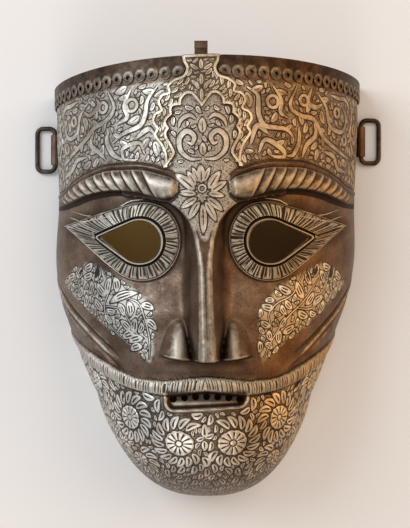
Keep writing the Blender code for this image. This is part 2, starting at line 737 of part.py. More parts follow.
def bent_on(mesh, scores, lift):
    """Bends a flat plate round the forehead, after scoring it at the given places."""
    shape = bmesh.new()
    shape.from_mesh(mesh)
    for score in scores:
        geometry = shape.verts[:] + shape.edges[:] + shape.faces[:]
        bmesh.ops.bisect_plane(shape, geom=geometry, plane_co=(score * MM, 0.0, 0.0),
                               plane_no=(1.0, 0.0, 0.0))
    bmesh.ops.triangulate(shape, faces=shape.faces)
    shape.to_mesh(mesh)
    shape.free()
    flat = np.empty(len(mesh.vertices) * 3)
    mesh.vertices.foreach_get("co", flat)
    flat = flat.reshape(-1, 3) / MM
    bent = on_forehead(flat[:, 0], flat[:, 1], flat[:, 2] + lift) * MM
    mesh.vertices.foreach_set("co", bent.ravel())
    mesh.update()
    return mesh


def circle(x, y, radius, sides):
    """Points round a circle."""
    turns = [2.0 * math.pi * k / sides for k in range(sides)]
    return [(x + radius * math.cos(turn), y + radius * math.sin(turn)) for turn in turns]


def lobe_arc(k):
    """How far from the middle line the lobe number k stands, along the forehead."""
    return math.radians(LOBE_FIRST_ANGLE + k * LOBE_PITCH_ANGLE) * BAND_ARC_RADIUS


def band_outline():
    """The strip's outline: an end that follows the plaque, half-round lobes, a straight top."""
    points = list(BAND_END)
    for k in range(1, LOBES):
        points.append((0.5 * (lobe_arc(k - 1) + lobe_arc(k)), BAND_HOLE_Y + 0.3))
        for step in range(5):
            turn = math.pi + math.pi * step / 4.0
            points.append((lobe_arc(k) + LOBE_RADIUS * math.cos(turn),
                           BAND_HOLE_Y + LOBE_RADIUS * math.sin(turn)))
    last = lobe_arc(LOBES - 1) + LOBE_RADIUS
    return points + [(x, RIM_Y) for x in np.linspace(last, BAND_END[0][0], LOBES)[:-1]]


def plaque_outline():
    """The whole plaque's outline, from its half."""
    half = rounded(PLAQUE_OUTER + PLAQUE_INNER, 2)
    return half + [(-x, y) for x, y in reversed(half) if x > 0.01]


def rim_band(side, label):
    """A scalloped, pierced strip along one half of the rim."""
    holes = [circle(lobe_arc(k), BAND_HOLE_Y, LOBE_HOLE_RADIUS, 6) for k in range(LOBES)]
    outlines = [[(-x, y) for x, y in outline] for outline in [band_outline()] + holes]
    mesh = flat_mesh("rim_band_" + label, outlines, BAND_THICKNESS)
    if side > 0.0:
        mesh.transform(Matrix.Diagonal((-1.0, 1.0, 1.0, 1.0)))
        mesh.flip_normals()
    bent_on(mesh, [], FIT_GAP + BAND_THICKNESS / 2.0)
    return add_part("rim_band_" + label, mesh, metal("band_steel_" + label, STEEL_DARK, 0.5))


def rounded(rows, steps):
    """Rounds an outline between its corners with a curve through the points."""
    points = [np.array(row[:2]) for row in rows]
    corner = [bool(row[2]) for row in rows]
    last = len(points) - 1
    outline = []
    for k in range(last):
        start, end = points[k], points[k + 1]
        before = start if corner[k] else points[max(k - 1, 0)]
        after = end if corner[k + 1] else points[min(k + 2, last)]
        for step in range(steps):
            t = step / steps
            outline.append(tuple(0.5 * (2.0 * start + (end - before) * t
                                        + (2.0 * before - 5.0 * start + 4.0 * end - after) * t ** 2
                                        + (3.0 * start - before - 3.0 * end + after) * t ** 3)))
    outline.append(tuple(points[last]))
    return outline


def forehead_plaque():
    """The cusped frame with a point in its middle and two legs, bent on the forehead."""
    mesh = flat_mesh("forehead_plaque", [plaque_outline()], PLAQUE_THICKNESS)
    scores = PLAQUE_SCORE * np.arange(-2, 3)
    bent_on(mesh, scores, FIT_GAP + PLAQUE_THICKNESS / 2.0)
    return add_part("forehead_plaque", mesh, metal("plaque_steel", STEEL_SILVERED, 0.36))


def strip_outline(path, thickness):
    """Both edges of a strip of even thickness that follows a path in its side view."""
    path = np.array(path)
    along = np.gradient(path, axis=0)
    along /= np.linalg.norm(along, axis=1)[:, None]
    across = np.stack([-along[:, 1], along[:, 0]], axis=1) * thickness / 2.0
    return np.concatenate([path + across, (path - across)[::-1]]).tolist()


def arc(centre, radius, start, end, steps):
    """Points along an arc, with angles in degrees."""
    turns = np.radians(np.linspace(start, end, steps + 1))
    return [(centre[0] + radius * math.cos(turn), centre[1] + radius * math.sin(turn)) for turn in turns]


def top_hook():
    """The bent strip: up behind the rim, forward over it and a short tip down in front."""
    inner_z = float(section(np.array([RIM_Y]))[1][0]) - PLATE - FIT_GAP - HOOK_STRIP / 2.0
    top = HOOK_TOP_Y - HOOK_STRIP / 2.0
    front = HOOK_FRONT_Z - HOOK_STRIP / 2.0
    path = [(HOOK_FOOT_Y, inner_z), (RIM_Y, inner_z)]
    path += arc((top - HOOK_BEND, inner_z + HOOK_BEND), HOOK_BEND, -90.0, 0.0, 4)
    path += arc((top - HOOK_BEND, front - HOOK_BEND), HOOK_BEND, 0.0, 90.0, 4)
    path.append((HOOK_TIP_Y, front))
    mesh = flat_mesh("top_hook", [strip_outline(path, HOOK_STRIP)], HOOK_WIDTH)
    upright = Matrix(((0.0, 0.0, 1.0), (1.0, 0.0, 0.0), (0.0, 1.0, 0.0))).to_4x4()
    shift = Matrix.Translation(Vector((front_lean(RIM_Y, FRONT_Z), 0.0, 0.0)) * MM)
    mesh.transform(shift @ upright)
    hook = add_part("top_hook", mesh, metal("hook_steel", STEEL_DARK, 0.45))
    place, outward = rivet_axes()[-1][1:3]
    cut(hook, rivet_cutter("hook_hole", place, outward))
    return hook


def hinge_profile(side, y):
    """The hinge strip from its end: down the inner wall, under the edge, round the wire."""
    centre_line = SLEEVE_BORE + HINGE_STRIP / 2.0
    under_z = HINGE_Z - centre_line
    inner_out = -PLATE - HINGE_GAP - HINGE_STRIP / 2.0
    path = []
    for z in HINGE_WALL_Z:
        point = wall_point(side, y, z, inner_out)
        path.append((side * point.x, z))
    foot = path[-1][0]
    path += [(foot + out, z) for out, z in HINGE_TURN]
    path.append((foot + 1.2, under_z))
    path += arc((HINGE_X, HINGE_Z), centre_line, -90.0, SLEEVE_END_ANGLE, 14)
    return path


def loop_hinge(side, label, y):
    """A strip riveted inside the edge and rolled into a sleeve for the loop's leg."""
    outline = strip_outline(hinge_profile(side, y), HINGE_STRIP)
    mesh = flat_mesh("loop_hinge_" + label, [outline], HINGE_LENGTH)
    upright = Matrix(((side, 0.0, 0.0), (0.0, 0.0, 1.0), (0.0, 1.0, 0.0))).to_4x4()
    mesh.transform(Matrix.Translation(Vector((0.0, y, 0.0)) * MM) @ upright)
    if side > 0.0:
        mesh.flip_normals()
    hinge = add_part("loop_hinge_" + label, mesh, metal("hinge_steel_" + label, STEEL_DARK, 0.45))
    for name, place, outward, _ in rivet_axes():
        if label in name:
            cut(hinge, rivet_cutter(name + "_strip_hole", place, outward))
    return hinge


def strap_loop(side, label, y):
    """A bent wire loop: its inner leg turns in the sleeve, its outer one lies on the floor."""
    half, inset = LOOP_LENGTH / 2.0, LOOP_CORNER
    far = LOOP_REACH - inset
    path = []
    for x, along, start in ((inset, half - inset, 180.0), (far, half - inset, 90.0),
                            (far, inset - half, 0.0), (inset, inset - half, -90.0)):
        path += arc((x, along), inset, start, start - 90.0, 4)
    curve = bpy.data.curves.new("strap_loop_" + label, "CURVE")
    curve.dimensions = "3D"
    curve.bevel_depth = WIRE_RADIUS * MM
    curve.bevel_resolution = 2
    spline = curve.splines.new("POLY")
    spline.points.add(len(path) - 1)
    corners = np.array([(side * x * MM, along * MM, 0.0, 1.0) for x, along in path])
    spline.points.foreach_set("co", corners.ravel())
    spline.use_cyclic_u = True
    holder = bpy.data.objects.new("strap_loop_" + label, curve)
    bpy.context.scene.collection.objects.link(holder)
    graph = bpy.context.evaluated_depsgraph_get()
    mesh = bpy.data.meshes.new_from_object(holder.evaluated_get(graph))
    bpy.data.objects.remove(holder)
    loop = add_part("strap_loop_" + label, mesh, metal("wire_iron_" + label, IRON_WIRE, 0.4))
    shape = bmesh.new()
    shape.from_mesh(mesh)
    bmesh.ops.recalc_face_normals(shape, faces=shape.faces)
    shape.to_mesh(mesh)
    shape.free()
    loop.location = Vector((side * HINGE_X, y, HINGE_Z)) * MM
    drop = math.asin((HINGE_Z - WIRE_RADIUS) / LOOP_REACH)
    loop.rotation_euler = (0.0, side * drop, 0.0)
    return loop


def rivet(name, place, outward, strip):
    """A plain rivet: a shank through strip and plate and a low round head inside."""
    inner = PLATE / 2.0 + FIT_GAP + strip + RIVET_PLAY
    outer = PLATE / 2.0 - RIVET_SINK
    shoulder, drop = RIVET_SHOULDER
    profile = ((0.0, outer), (RIVET_RADIUS, outer), (RIVET_RADIUS, -inner), (RIVET_HEAD_RADIUS, -inner),
               (RIVET_HEAD_RADIUS * shoulder, -inner - RIVET_HEAD * drop), (0.0, -inner - RIVET_HEAD))
    points = [(radius * MM, 0.0, z * MM) for radius, z in profile]
    mesh = bpy.data.meshes.new(name)
    mesh.from_pydata(points, [(k, k + 1) for k in range(len(profile) - 1)], [])
    part = bpy.data.objects.new(name, mesh)
    bpy.data.collections[COLLECTION].objects.link(part)
    turn = part.modifiers.new("turn", "SCREW")
    turn.steps = turn.render_steps = RIVET_STEPS
    turn.use_merge_vertices = True
    turn.merge_threshold = 0.00001
    mesh.materials.append(metal(name + "_steel", STEEL_DARK, 0.45))
    part.matrix_world = along_axis(place, outward)
    return part


def build():
    """Makes every part of the mask."""
    for old in list(bpy.data.objects):
        bpy.data.objects.remove(old)
    collection(COLLECTION)
    collection("cutters")
    mask_shell()
    for side, label, y in hinge_places():
        rim_band(side, label)
        loop_hinge(side, label, y)
        strap_loop(side, label, y)
    forehead_plaque()
    top_hook()
    for axis in rivet_axes():
        rivet(*axis)


build()
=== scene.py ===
"""Looks of an embossed steel war mask that lies on its back on a pale floor.

The plate is drawn again as a fine grid, from the sections and relief that its solid
has. Leaves, ribbons and flowers stand on it as low relief. Lengths are in millimetres
until a mesh is made; lamps are placed in metres.
"""

import math

import bmesh
import bpy
import numpy as np
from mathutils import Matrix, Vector
from mathutils.kdtree import KDTree


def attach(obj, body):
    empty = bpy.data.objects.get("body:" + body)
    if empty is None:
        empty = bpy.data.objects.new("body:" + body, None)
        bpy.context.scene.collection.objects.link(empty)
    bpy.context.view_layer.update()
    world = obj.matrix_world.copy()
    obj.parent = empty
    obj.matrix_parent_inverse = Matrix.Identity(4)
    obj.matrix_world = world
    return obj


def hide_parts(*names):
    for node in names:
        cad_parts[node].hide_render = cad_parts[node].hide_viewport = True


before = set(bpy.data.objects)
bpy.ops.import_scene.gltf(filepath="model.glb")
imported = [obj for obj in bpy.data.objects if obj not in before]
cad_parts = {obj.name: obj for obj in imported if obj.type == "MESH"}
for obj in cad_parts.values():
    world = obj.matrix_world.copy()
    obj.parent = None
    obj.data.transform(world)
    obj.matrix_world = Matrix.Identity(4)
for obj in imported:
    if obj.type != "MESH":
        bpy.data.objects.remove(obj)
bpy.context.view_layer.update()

MM = 0.001
PLATE = 1.6
RIM_Y = 110.0
CHIN_START_Y = -56.0
CHIN_LENGTH = 60.0
FRONT_Z = 85.0
RIM_ARCH = 4.0
RIM_TILT = 2.4
FIT_GAP = 0.35

# Sections across the face: height, half width, depth and fullness
SECTIONS = np.array([
    (-56.0, 60.2, 79.0, 2.35),
    (-46.0, 64.7, 78.5, 2.30),
    (-31.5, 70.3, 78.0, 2.25),
    (-21.0, 74.4, 77.5, 2.20),
    (-11.0, 77.9, 77.5, 2.15),
    (3.4, 81.3, 78.5, 2.10),
    (17.0, 82.3, 80.5, 2.05),
    (46.0, 81.3, 85.0, 2.00),
    (62.0, 81.8, 85.0, 2.00),
    (110.0, 83.0, 85.0, 2.00),
])
CHIN_FULLNESS = 2.5
CHIN_DEPTH_POWER = 2.2
CHIN_WIDTH_POWERS = (1.4, 2.32)
CHEEK_SWAY = 3.0
CHEEK_SWAY_Y = -36.0
CHEEK_SWAY_REACH = 62.0
LEAN_AT_NOSE = -0.7
LEAN_PER_MM = -2.9 / 150.0
NOSE_TIP_Y = -40.0

# Brow: angle from the middle, upper edge, lower edge
BROW = np.array([
    (9.0, 49.8, 44.0),
    (11.0, 52.2, 41.6),
    (14.0, 53.6, 41.0),
    (18.0, 55.4, 42.4),
    (24.0, 56.8, 44.8),
    (34.0, 57.0, 46.0),
    (46.0, 54.2, 44.6),
    (56.0, 50.4, 42.2),
    (66.0, 46.6, 40.9),
    (90.0, 45.6, 42.0),
])
BROW_HEIGHT = 4.2
BROW_FADE = (46.0, 80.0, 0.97)
FLUTE_START = 18.1
FLUTE_PITCH = 4.15
FLUTE_SLANT = 5.0
FLUTE_DEPTH = 1.6
FLUTE_FALL = 0.26

# Eye: a teardrop hole in a raised, larger teardrop: its radius, its tip and the tip's radius
EYE_X = 32.0
EYE_Y = 20.8
HOLE_RADIUS = 10.6
HOLE_TIP = (19.0, 2.6)
HOLE_TIP_RADIUS = 0.6
HOLE = (HOLE_RADIUS, HOLE_TIP, HOLE_TIP_RADIUS)
LID_RADIUS = 19.8
LID = (LID_RADIUS, (40.5, 9.0), 0.8)
LID_HEIGHT = 4.4
LID_STEP = 0.9
SOCKET_DEPTH = 7.0
SOCKET_OUTER_DEPTH = 1.8
SOCKET_END = (64.0, 80.0)

# Nose: height up the face, half width of the ridge, its height, its side's run
NOSE = np.array([
    (-37.0, 2.6, 24.5, 6.8),
    (-30.0, 2.2, 24.0, 8.8),
    (-22.0, 2.0, 20.5, 11.5),
    (-8.0, 1.9, 14.5, 12.5),
    (8.0, 2.1, 8.5, 10.0),
    (21.0, 3.6, 3.4, 8.0),
    (28.9, 6.0, 1.2, 6.0),
    (34.5, 9.9, 0.4, 4.5),
    (39.5, 17.0, 0.0, 3.5),
    (44.0, 40.0, 0.0, 3.0),
])
NOSE_BASE_Y = -36.4
NOSE_BASE_RISE = 2.2
NOSE_HALF_BASE = 21.0
RIDGE_POWER = 1.2
WING_TOP_Y = -17.0
WING_X = 13.0
WING_HALF_WIDTH = 8.4
WING_SPREAD = 1.3
WING_HEIGHT = 10.0

# Moustache: angle from the middle, upper edge, lower edge
MOUSTACHE = np.array([
    (0.0, -44.6, -52.0),
    (7.0, -45.4, -53.2),
    (15.0, -46.6, -54.0),
    (25.0, -46.2, -52.9),
    (36.0, -43.2, -50.6),
    (47.0, -38.4, -46.6),
    (60.0, -33.4, -40.6),
    (75.0, -28.2, -33.4),
    (90.0, -25.0, -29.0),
])
MOUSTACHE_HEIGHT = 2.6
MOUSTACHE_FADE = (52.0, 78.0, 0.72)
FOLD = np.array([
    (28.0, -41.0),
    (40.0, -33.0),
    (57.0, -18.0),
    (72.5, -4.9),
    (84.0, 6.0),
])
FOLD_SPACING = 6.4
FOLD_DEPTH = 1.4
FOLD_ROLL = 0.7
FOLD_WIDTH = 1.7

MOUTH_HALF_WIDTH = 19.2
MOUTH_BOTTOM_Y = -59.5
MOUTH_DEPTH = 2.4
MOUTH_CORNER = 3.4
MOUTH_CLIMB = 0.055
MOUTH_HOLES = 7
MOUTH_HOLE_PITCH = 5.4
MOUTH_HOLE_RADIUS = 1.75
MOUTH_HOLE_Y = -54.6
MOUTH_HOLE_DROP = 1.4

# Rim bands and forehead plaque
BAND_THICKNESS = 0.9
BAND_HOLE_Y = 102.0
ARC_RADIUS = 84.6
BAND_END = [(9.4, 110.0), (9.1, 107.0), (7.75, 103.8), (8.9, 101.5), (11.4, 100.4), (13.9, 99.9)]
LOBE_FIRST_ANGLE = 7.6
LOBE_PITCH_ANGLE = 4.45
LOBES = 19
LOBE_RADIUS = 2.75
LOBE_HOLE_RADIUS = 1.0
PLAQUE_THICKNESS = 1.2
PLAQUE_OUTER = [
    (0.0, 110.3, 1), (9.0, 110.2, 1), (8.7, 107.0, 0), (7.3, 103.8, 0), (8.8, 100.6, 0),
    (13.4, 99.0, 0), (16.8, 96.2, 0), (16.2, 93.0, 1), (19.6, 92.2, 0), (21.8, 88.6, 0),
    (20.2, 84.6, 1), (23.4, 83.2, 0), (24.8, 79.4, 0), (22.6, 75.6, 1), (24.0, 72.4, 0),
    (20.6, 67.2, 0), (18.9, 62.4, 0), (18.9, 56.2, 1),
]
PLAQUE_INNER = [
    (13.8, 62.2, 0), (14.2, 66.0, 0), (16.6, 70.4, 0), (17.4, 73.2, 0), (15.8, 75.6, 1),
    (17.5, 78.8, 0), (14.4, 82.0, 1), (14.2, 85.6, 0), (9.9, 86.2, 1), (9.6, 88.8, 0),
    (7.4, 91.2, 0), (5.0, 91.2, 1), (0.0, 84.8, 1),
]

# Strap loops
WIRE_RADIUS = 1.3
WIRE_SIDES = 20
LOOP_REACH = 10.0
LOOP_LENGTH = 23.8
LOOP_CORNER = 3.2
HINGE_X = 84.95
HINGE_Z = 2.4
HINGE_LENGTH = 16.4
HINGE_HEIGHTS = {"left": 73.2, "right": 77.8}
SIDES = {"left": -1.0, "right": 1.0}
NOTCH_HEIGHT = 1.9
NOTCH_X = (74.0, 90.0)

# The z from which and to which the prisms that pierce the plate run
EYE_BAR = (45.0, 100.0)
MOUTH_BAR = (60.0, 90.0)

# The fine grid; the inner face takes every third line of the outer one
COLUMNS = 300
FACE_ROWS = 228
CHIN_ROWS = 60
INNER_STRIDE = 3


def ramp(low, high, value):
    """Rises smoothly from 0 at low to 1 at high."""
    part = np.clip((value - low) / (high - low), 0.0, 1.0)
    return part * part * (3.0 - 2.0 * part)


def bump(value, width):
    """A soft bell of height 1 round 0."""
    return np.exp(-(value / width) ** 2)


def through(value, knots, heights):
    """A smooth curve through the knots that never overshoots them, level past both ends."""
    order = np.argsort(knots)
    knots = knots[order]
    heights = heights[order]
    rise = np.diff(heights) / np.diff(knots)
    both = rise[:-1] * rise[1:]
    turn = np.where(both > 0.0, rise[:-1] + rise[1:], 1.0)
    slopes = np.concatenate([rise[:1], np.where(both > 0.0, 2.0 * both / turn, 0.0), rise[-1:]])
    left = np.clip(np.searchsorted(knots, value) - 1, 0, len(knots) - 2)
    span = knots[left + 1] - knots[left]
    part = np.clip((value - knots[left]) / span, 0.0, 1.0)
    rest = 1.0 - part
    return ((1.0 + 2.0 * part) * rest ** 2 * heights[left]
            + part * rest ** 2 * span * slopes[left]
            + part ** 2 * (3.0 - 2.0 * part) * heights[left + 1]
            - part ** 2 * rest * span * slopes[left + 1])


def charted(value, chart):
    """The smooth curves through a chart's columns, over its first one."""
    return [through(value, chart[:, 0], column) for column in chart.T[1:]]


def together(*values):
    """The values side by side, as vectors."""
    return np.stack(np.broadcast_arrays(*values), axis=-1)


def length_of(vectors):
    """How long each vector is."""
    return np.linalg.norm(vectors, axis=-1)


def unit(vectors):
    """The vectors made one long."""
    return vectors / np.linalg.norm(vectors, axis=-1, keepdims=True)


def section(y):
    """Half width, depth and fullness of the plate at height y: smooth above the
    chin, and below it width and depth fall to nothing along two superellipses."""
    width, depth, fullness = charted(y, SECTIONS)
    round_chin = np.clip((CHIN_START_Y - y) / CHIN_LENGTH, 0.0, 1.0)
    power, root = CHIN_WIDTH_POWERS
    width = width * (1.0 - round_chin ** power) ** (1.0 / root)
    depth = depth * (1.0 - round_chin ** CHIN_DEPTH_POWER) ** (1.0 / CHIN_DEPTH_POWER)
    fuller = ramp(0.0, 0.35, round_chin)
    return width, depth, fullness + (CHIN_FULLNESS - fullness) * fuller


def base_surface(angle, y):
    """The plain plate: half a superellipse across the face at height y, where x
    is width times sine to the power 2 / fullness and z is the same with cosine."""
    width, depth, fullness = section(y)
    sine = np.sin(np.radians(angle))
    cosine = np.cos(np.radians(angle)).clip(0.0)
    x = width * np.sign(sine) * np.abs(sine) ** (2.0 / fullness)
    z = depth * cosine ** (2.0 / fullness)
    return together(x, y, z)


def slopes(angle, y):
    """How the plain plate moves for one degree across and for one millimetre up."""
    step = 0.05
    inside = np.clip(angle, -90.0 + step, 90.0 - step)
    lowest = CHIN_START_Y - CHIN_LENGTH * 0.999
    level = np.clip(y, lowest + step, RIM_Y - step)
    across = base_surface(inside + step, level) - base_surface(inside - step, level)
    along = base_surface(inside, level + step) - base_surface(inside, level - step)
    return across / (2.0 * step), along / (2.0 * step)


def base_normal(angle, y):
    """The outward direction of the plain plate, level at the rear edge."""
    across, along = slopes(angle, y)
    normal = unit(np.cross(across, along))
    normal[..., 2] = np.where(np.abs(angle) > 89.9, 0.0, normal[..., 2])
    return unit(normal)


def x_at(angle, y):
    """Where the plain plate lies across the mask at this angle and height."""
    return base_surface(angle, y)[..., 0]


def angle_at(x, y):
    """The angle at which the plain plate has this x at height y."""
    width, _, fullness = section(y)
    sine = np.clip(np.abs(x) / width, 0.0, 1.0) ** (fullness / 2.0)
    return np.sign(x) * np.degrees(np.arcsin(sine))


def teardrop(x, y, radius, tip, tip_radius):
    """Distance outside a teardrop: two circles and the straight sides between them."""
    length = math.hypot(*tip)
    along = ((x - EYE_X) * tip[0] + (y - EYE_Y) * tip[1]) / length
    across = np.abs((x - EYE_X) * tip[1] - (y - EYE_Y) * tip[0]) / length
    slope = (radius - tip_radius) / length
    rise = math.sqrt(1.0 - slope * slope)
    foot = along * rise - across * slope
    side = across * rise + along * slope - radius
    near_round = np.hypot(across, along) - radius
    near_tip = np.hypot(across, along - length) - tip_radius
    return np.where(foot < 0.0, near_round, np.where(foot > length * rise, near_tip, side))


def place_on(chart, angle, y):
    """Where a point lies between a chart's lower edge, 0, and its upper one, 1, and
    the heights of the two edges."""
    upper, lower = charted(angle, chart)
    return (y - lower) / (upper - lower), upper, lower


def faded(angle, start, end, loss):
    """Falls from 1 by the loss between two angles."""
    return 1.0 - loss * ramp(start, end, angle)


def flute_phase(angle, part):
    """How many flutes lie between a point and the brow's first crest."""
    return (angle - FLUTE_SLANT * (part - 0.5) - FLUTE_START) / FLUTE_PITCH


def flute_rise(phase):
    """A saw: a steep fall from each crest to its groove, then a slow rise to the next."""
    past = phase - np.floor(phase)
    saw = np.where(past < FLUTE_FALL, 1.0 - past / FLUTE_FALL, (past - FLUTE_FALL) / (1.0 - FLUTE_FALL))
    return np.where(phase < 0.0, 1.0, saw)


def brow_relief(angle, y, hidden):
    """A rounded crescent over the eye, cut by slanting flutes, under a thin roll."""
    part, upper, _ = place_on(BROW, angle, y)
    inside = np.clip(4.0 * (part - 0.12 * hidden) * (1.0 - part), 0.0, 1.0) ** 0.6
    flutes = FLUTE_DEPTH * (1.0 - flute_rise(flute_phase(angle, part)))
    roll = 0.5 * bump(y - upper - 1.5, 0.8) - 0.35 * bump(y - upper - 3.0, 0.5)
    roll = roll * ramp(9.0, 16.0, angle)
    crescent = (BROW_HEIGHT - 1.6 * hidden) * ramp(8.2, 10.6, angle) - flutes
    return crescent * inside * faded(angle, *BROW_FADE) + roll


def eye_relief(x, y, lower_brow, hidden):
    """The socket with the raised, teardrop-shaped eye in it."""
    nose_side = ramp(52.0, 18.0, x)
    under_brow = ramp(lower_brow + 1.5 + hidden, lower_brow - 1.5 + hidden, y)
    start, end = SOCKET_END
    depth = SOCKET_OUTER_DEPTH * ramp(end, start, x) + (SOCKET_DEPTH - SOCKET_OUTER_DEPTH) * nose_side
    floor = -depth * ramp(-16.0, 8.0, y) * under_brow
    inside_lid = -teardrop(x, y, *LID) - hidden
    swell = 1.0 - (1.0 - np.clip(inside_lid / (LID_RADIUS - HOLE_RADIUS), 0.0, 1.0)) ** 2
    under_groove = 3.0 * hidden * ramp(2.8, 2.0, teardrop(x, y, *HOLE))
    lid = LID_STEP * ramp(0.0, 0.8, inside_lid) + (LID_HEIGHT - LID_STEP - 0.5 * hidden) * swell
    return floor + lid - under_groove


def nose_relief(x, y, face):
    """The ridge and the two wings, which stand over the face where they are higher
    and run softly into it higher up."""
    half, height, run = charted(y, NOSE)
    aside = np.maximum(x - half, 0.0) / run
    side = (height + SOCKET_DEPTH + 1.0) * (1.0 - np.clip(1.0 - aside, 0.0, 1.0) ** RIDGE_POWER)
    ridge = height - side - 6.0 * np.maximum(aside - 1.0, 0.0)
    drop = np.clip((WING_TOP_Y - y) / (WING_TOP_Y - NOSE_BASE_Y), 0.0, 1.0)
    half_wing = 1.5 + (WING_HALF_WIDTH - 1.5) * np.sqrt(drop)
    across = np.clip(np.abs(x - WING_X) / (half_wing * np.where(x > WING_X, WING_SPREAD, 1.0)), 0.0, 1.0)
    wing = WING_HEIGHT * drop ** 0.8 * (1.0 - across ** 2) ** 1.6
    base_y = NOSE_BASE_Y + NOSE_BASE_RISE * (x / NOSE_HALF_BASE) ** 2
    above_base = ramp(base_y - 1.6, base_y + 0.2, y)
    wing_h = face + wing * above_base
    ridge_h = ridge * above_base + (face - 4.0) * (1.0 - above_base)
    soft = 3.0 + 3.0 * ramp(-26.0, -12.0, y)
    near = np.clip(1.0 - np.abs(ridge_h - wing_h) / soft, 0.0, 1.0)
    return np.maximum(ridge_h, wing_h) + 0.25 * soft * near ** 2 * ramp(26.0, 6.0, y)


def in_mouth(x, y):
    """How far inside the mouth's recess a point lies: its lower corners are round and
    its lower edge climbs a little to the right."""
    aside = np.abs(x) - MOUTH_HALF_WIDTH + MOUTH_CORNER
    below = MOUTH_BOTTOM_Y + MOUTH_CLIMB * x + MOUTH_CORNER - y
    corner = np.hypot(np.clip(aside, 0.0, None), np.clip(below, 0.0, None))
    return MOUTH_CORNER - corner - np.minimum(np.maximum(aside, below), 0.0)


def mouth_relief(x, angle, y, hidden):
    """The raised moustache, the recess under it and the edge of the lower lip."""
    part, _, lower = place_on(MOUSTACHE, angle, y)
    inner = np.clip(part + 0.08 * hidden * (1.0 - 2.0 * part), 0.0, 1.0)
    inner = np.where((part > 0.0) & (part < 1.0), inner, 0.0)
    moustache = (MOUSTACHE_HEIGHT - hidden) * (4.0 * inner * (1.0 - inner)) ** 0.45
    moustache = moustache * faded(angle, *MOUSTACHE_FADE)
    inside = in_mouth(x, y)
    recess = ramp(-0.9, 1.0, inside) * ramp(lower + 0.6, lower - 0.4, y)
    lip = 0.6 * bump(inside + 1.0, 0.5) * ramp(lower, lower - 1.2, y)
    jaw_step = 1.4 * ramp(-54.0, -61.0, y) * ramp(-112.0, -80.0, y) * ramp(42.0, 66.0, angle)
    return moustache - MOUTH_DEPTH * recess + lip - jaw_step


def fold_relief(angle, y):
    """Two creases between the cheek and the jaw, with a soft roll between them."""
    from_fold = y - charted(angle, FOLD)[0]
    creases = sum(bump(from_fold + k * FOLD_SPACING, FOLD_WIDTH) for k in range(2))
    roll = bump(from_fold + 0.5 * FOLD_SPACING, FOLD_WIDTH)
    return (FOLD_ROLL * roll - FOLD_DEPTH * creases) * ramp(33.0, 44.0, angle) * ramp(86.0, 72.0, angle)


def relief(angle, x, y, hidden=0.0):
    """How far the embossed surface stands out from the plain plate. Where skins lie
    over the plate, it is held back under them by hidden."""
    angle = np.abs(angle)
    ax = np.abs(x)
    face = eye_relief(ax, y, charted(angle, BROW)[1], hidden)
    face = nose_relief(ax, y, face)
    return face + brow_relief(angle, y, hidden) + mouth_relief(x, angle, y, hidden) + fold_relief(angle, y)


def hand_work(points):
    """Leans and sways the even shape as the hammered one does, and tilts the rim."""
    x, y, z = points[..., 0], points[..., 1], points[..., 2]
    front = np.clip(z / FRONT_Z, 0.0, 1.2)
    sway = -CHEEK_SWAY * np.exp(-((y - CHEEK_SWAY_Y) / CHEEK_SWAY_REACH) ** 2)
    lean = LEAN_AT_NOSE + LEAN_PER_MM * np.maximum(y - NOSE_TIP_Y, 0.0)
    half = SECTIONS[-1, 1]
    upper = ramp(20.0, 80.0, y)
    rise = RIM_TILT * upper * x / half - RIM_ARCH * ramp(60.0, RIM_Y, y) * (x / half) ** 2
    return together(x + sway * (1.0 - front) + lean * front, y + rise, z)


def on_face(angle, y, out):
    """A point out from the embossed surface."""
    base = base_surface(angle, y)
    raised = relief(angle, base[..., 0], y) + out
    return hand_work(base + raised[..., None] * base_normal(angle, y))


def on_plain(angle, y, out):
    """A point out from the plain plate, for pieces that lie flat on the forehead."""
    return hand_work(base_surface(angle, y) + out[..., None] * base_normal(angle, y))


def at_arc(arc):
    """The angle on the forehead at this distance from its middle line."""
    return np.degrees(arc / ARC_RADIUS)


# Meshes

def quads(*corners):
    """Four-sided faces from the numbers of their first, second, third and last points."""
    return np.stack(corners, axis=-1).reshape(-1, 4)


def numbers(rows, columns, start=0):
    """The numbers of a grid's points, row by row."""
    return np.arange(rows * columns).reshape(rows, columns) + start


def faces_of_grid(index):
    """Quads of a grid of points, turned so that they face out of the mask."""
    return quads(index[:-1, :-1], index[1:, :-1], index[1:, 1:], index[:-1, 1:])


def border(index):
    """The numbers of the points round a grid, once round."""
    return np.concatenate([index[0, ::-1], index[1:, 0], index[-1, 1:], index[-2:0:-1, -1]])


def mesh_from(name, points, faces):
    """A mesh from points in millimetres and a list of faces."""
    mesh = bpy.data.meshes.new(name)
    mesh.from_pydata((np.asarray(points).reshape(-1, 3) * MM).tolist(), [], faces)
    return mesh


def write_field(mesh, name, values):
    """Stores one number or one vector for each vertex."""
    values = np.asarray(values, np.float32)
    kind, key = ("FLOAT", "value") if values.ndim == 1 else ("FLOAT_VECTOR", "vector")
    field = mesh.attributes.new(name, kind, "POINT")
    field.data.foreach_set(key, values.ravel())


def read_field(mesh, name):
    """The numbers that write_field stored."""
    values = np.empty(len(mesh.vertices), np.float32)
    mesh.attributes[name].data.foreach_get("value", values)
    return values


def points_of(mesh):
    """Where the mesh's points are."""
    points = np.empty(len(mesh.vertices) * 3)
    mesh.vertices.foreach_get("co", points)
    return points.reshape(-1, 3)


def shaded(mesh, sharp):
    """Shades a mesh smoothly, except over edges sharper than this many degrees."""
    mesh.shade_smooth()
    mesh.set_sharp_from_angle(angle=math.radians(sharp))


def placed(name, content):
    """A new object in the scene."""
    shown = bpy.data.objects.new(name, content)
    bpy.context.scene.collection.objects.link(shown)
    return shown


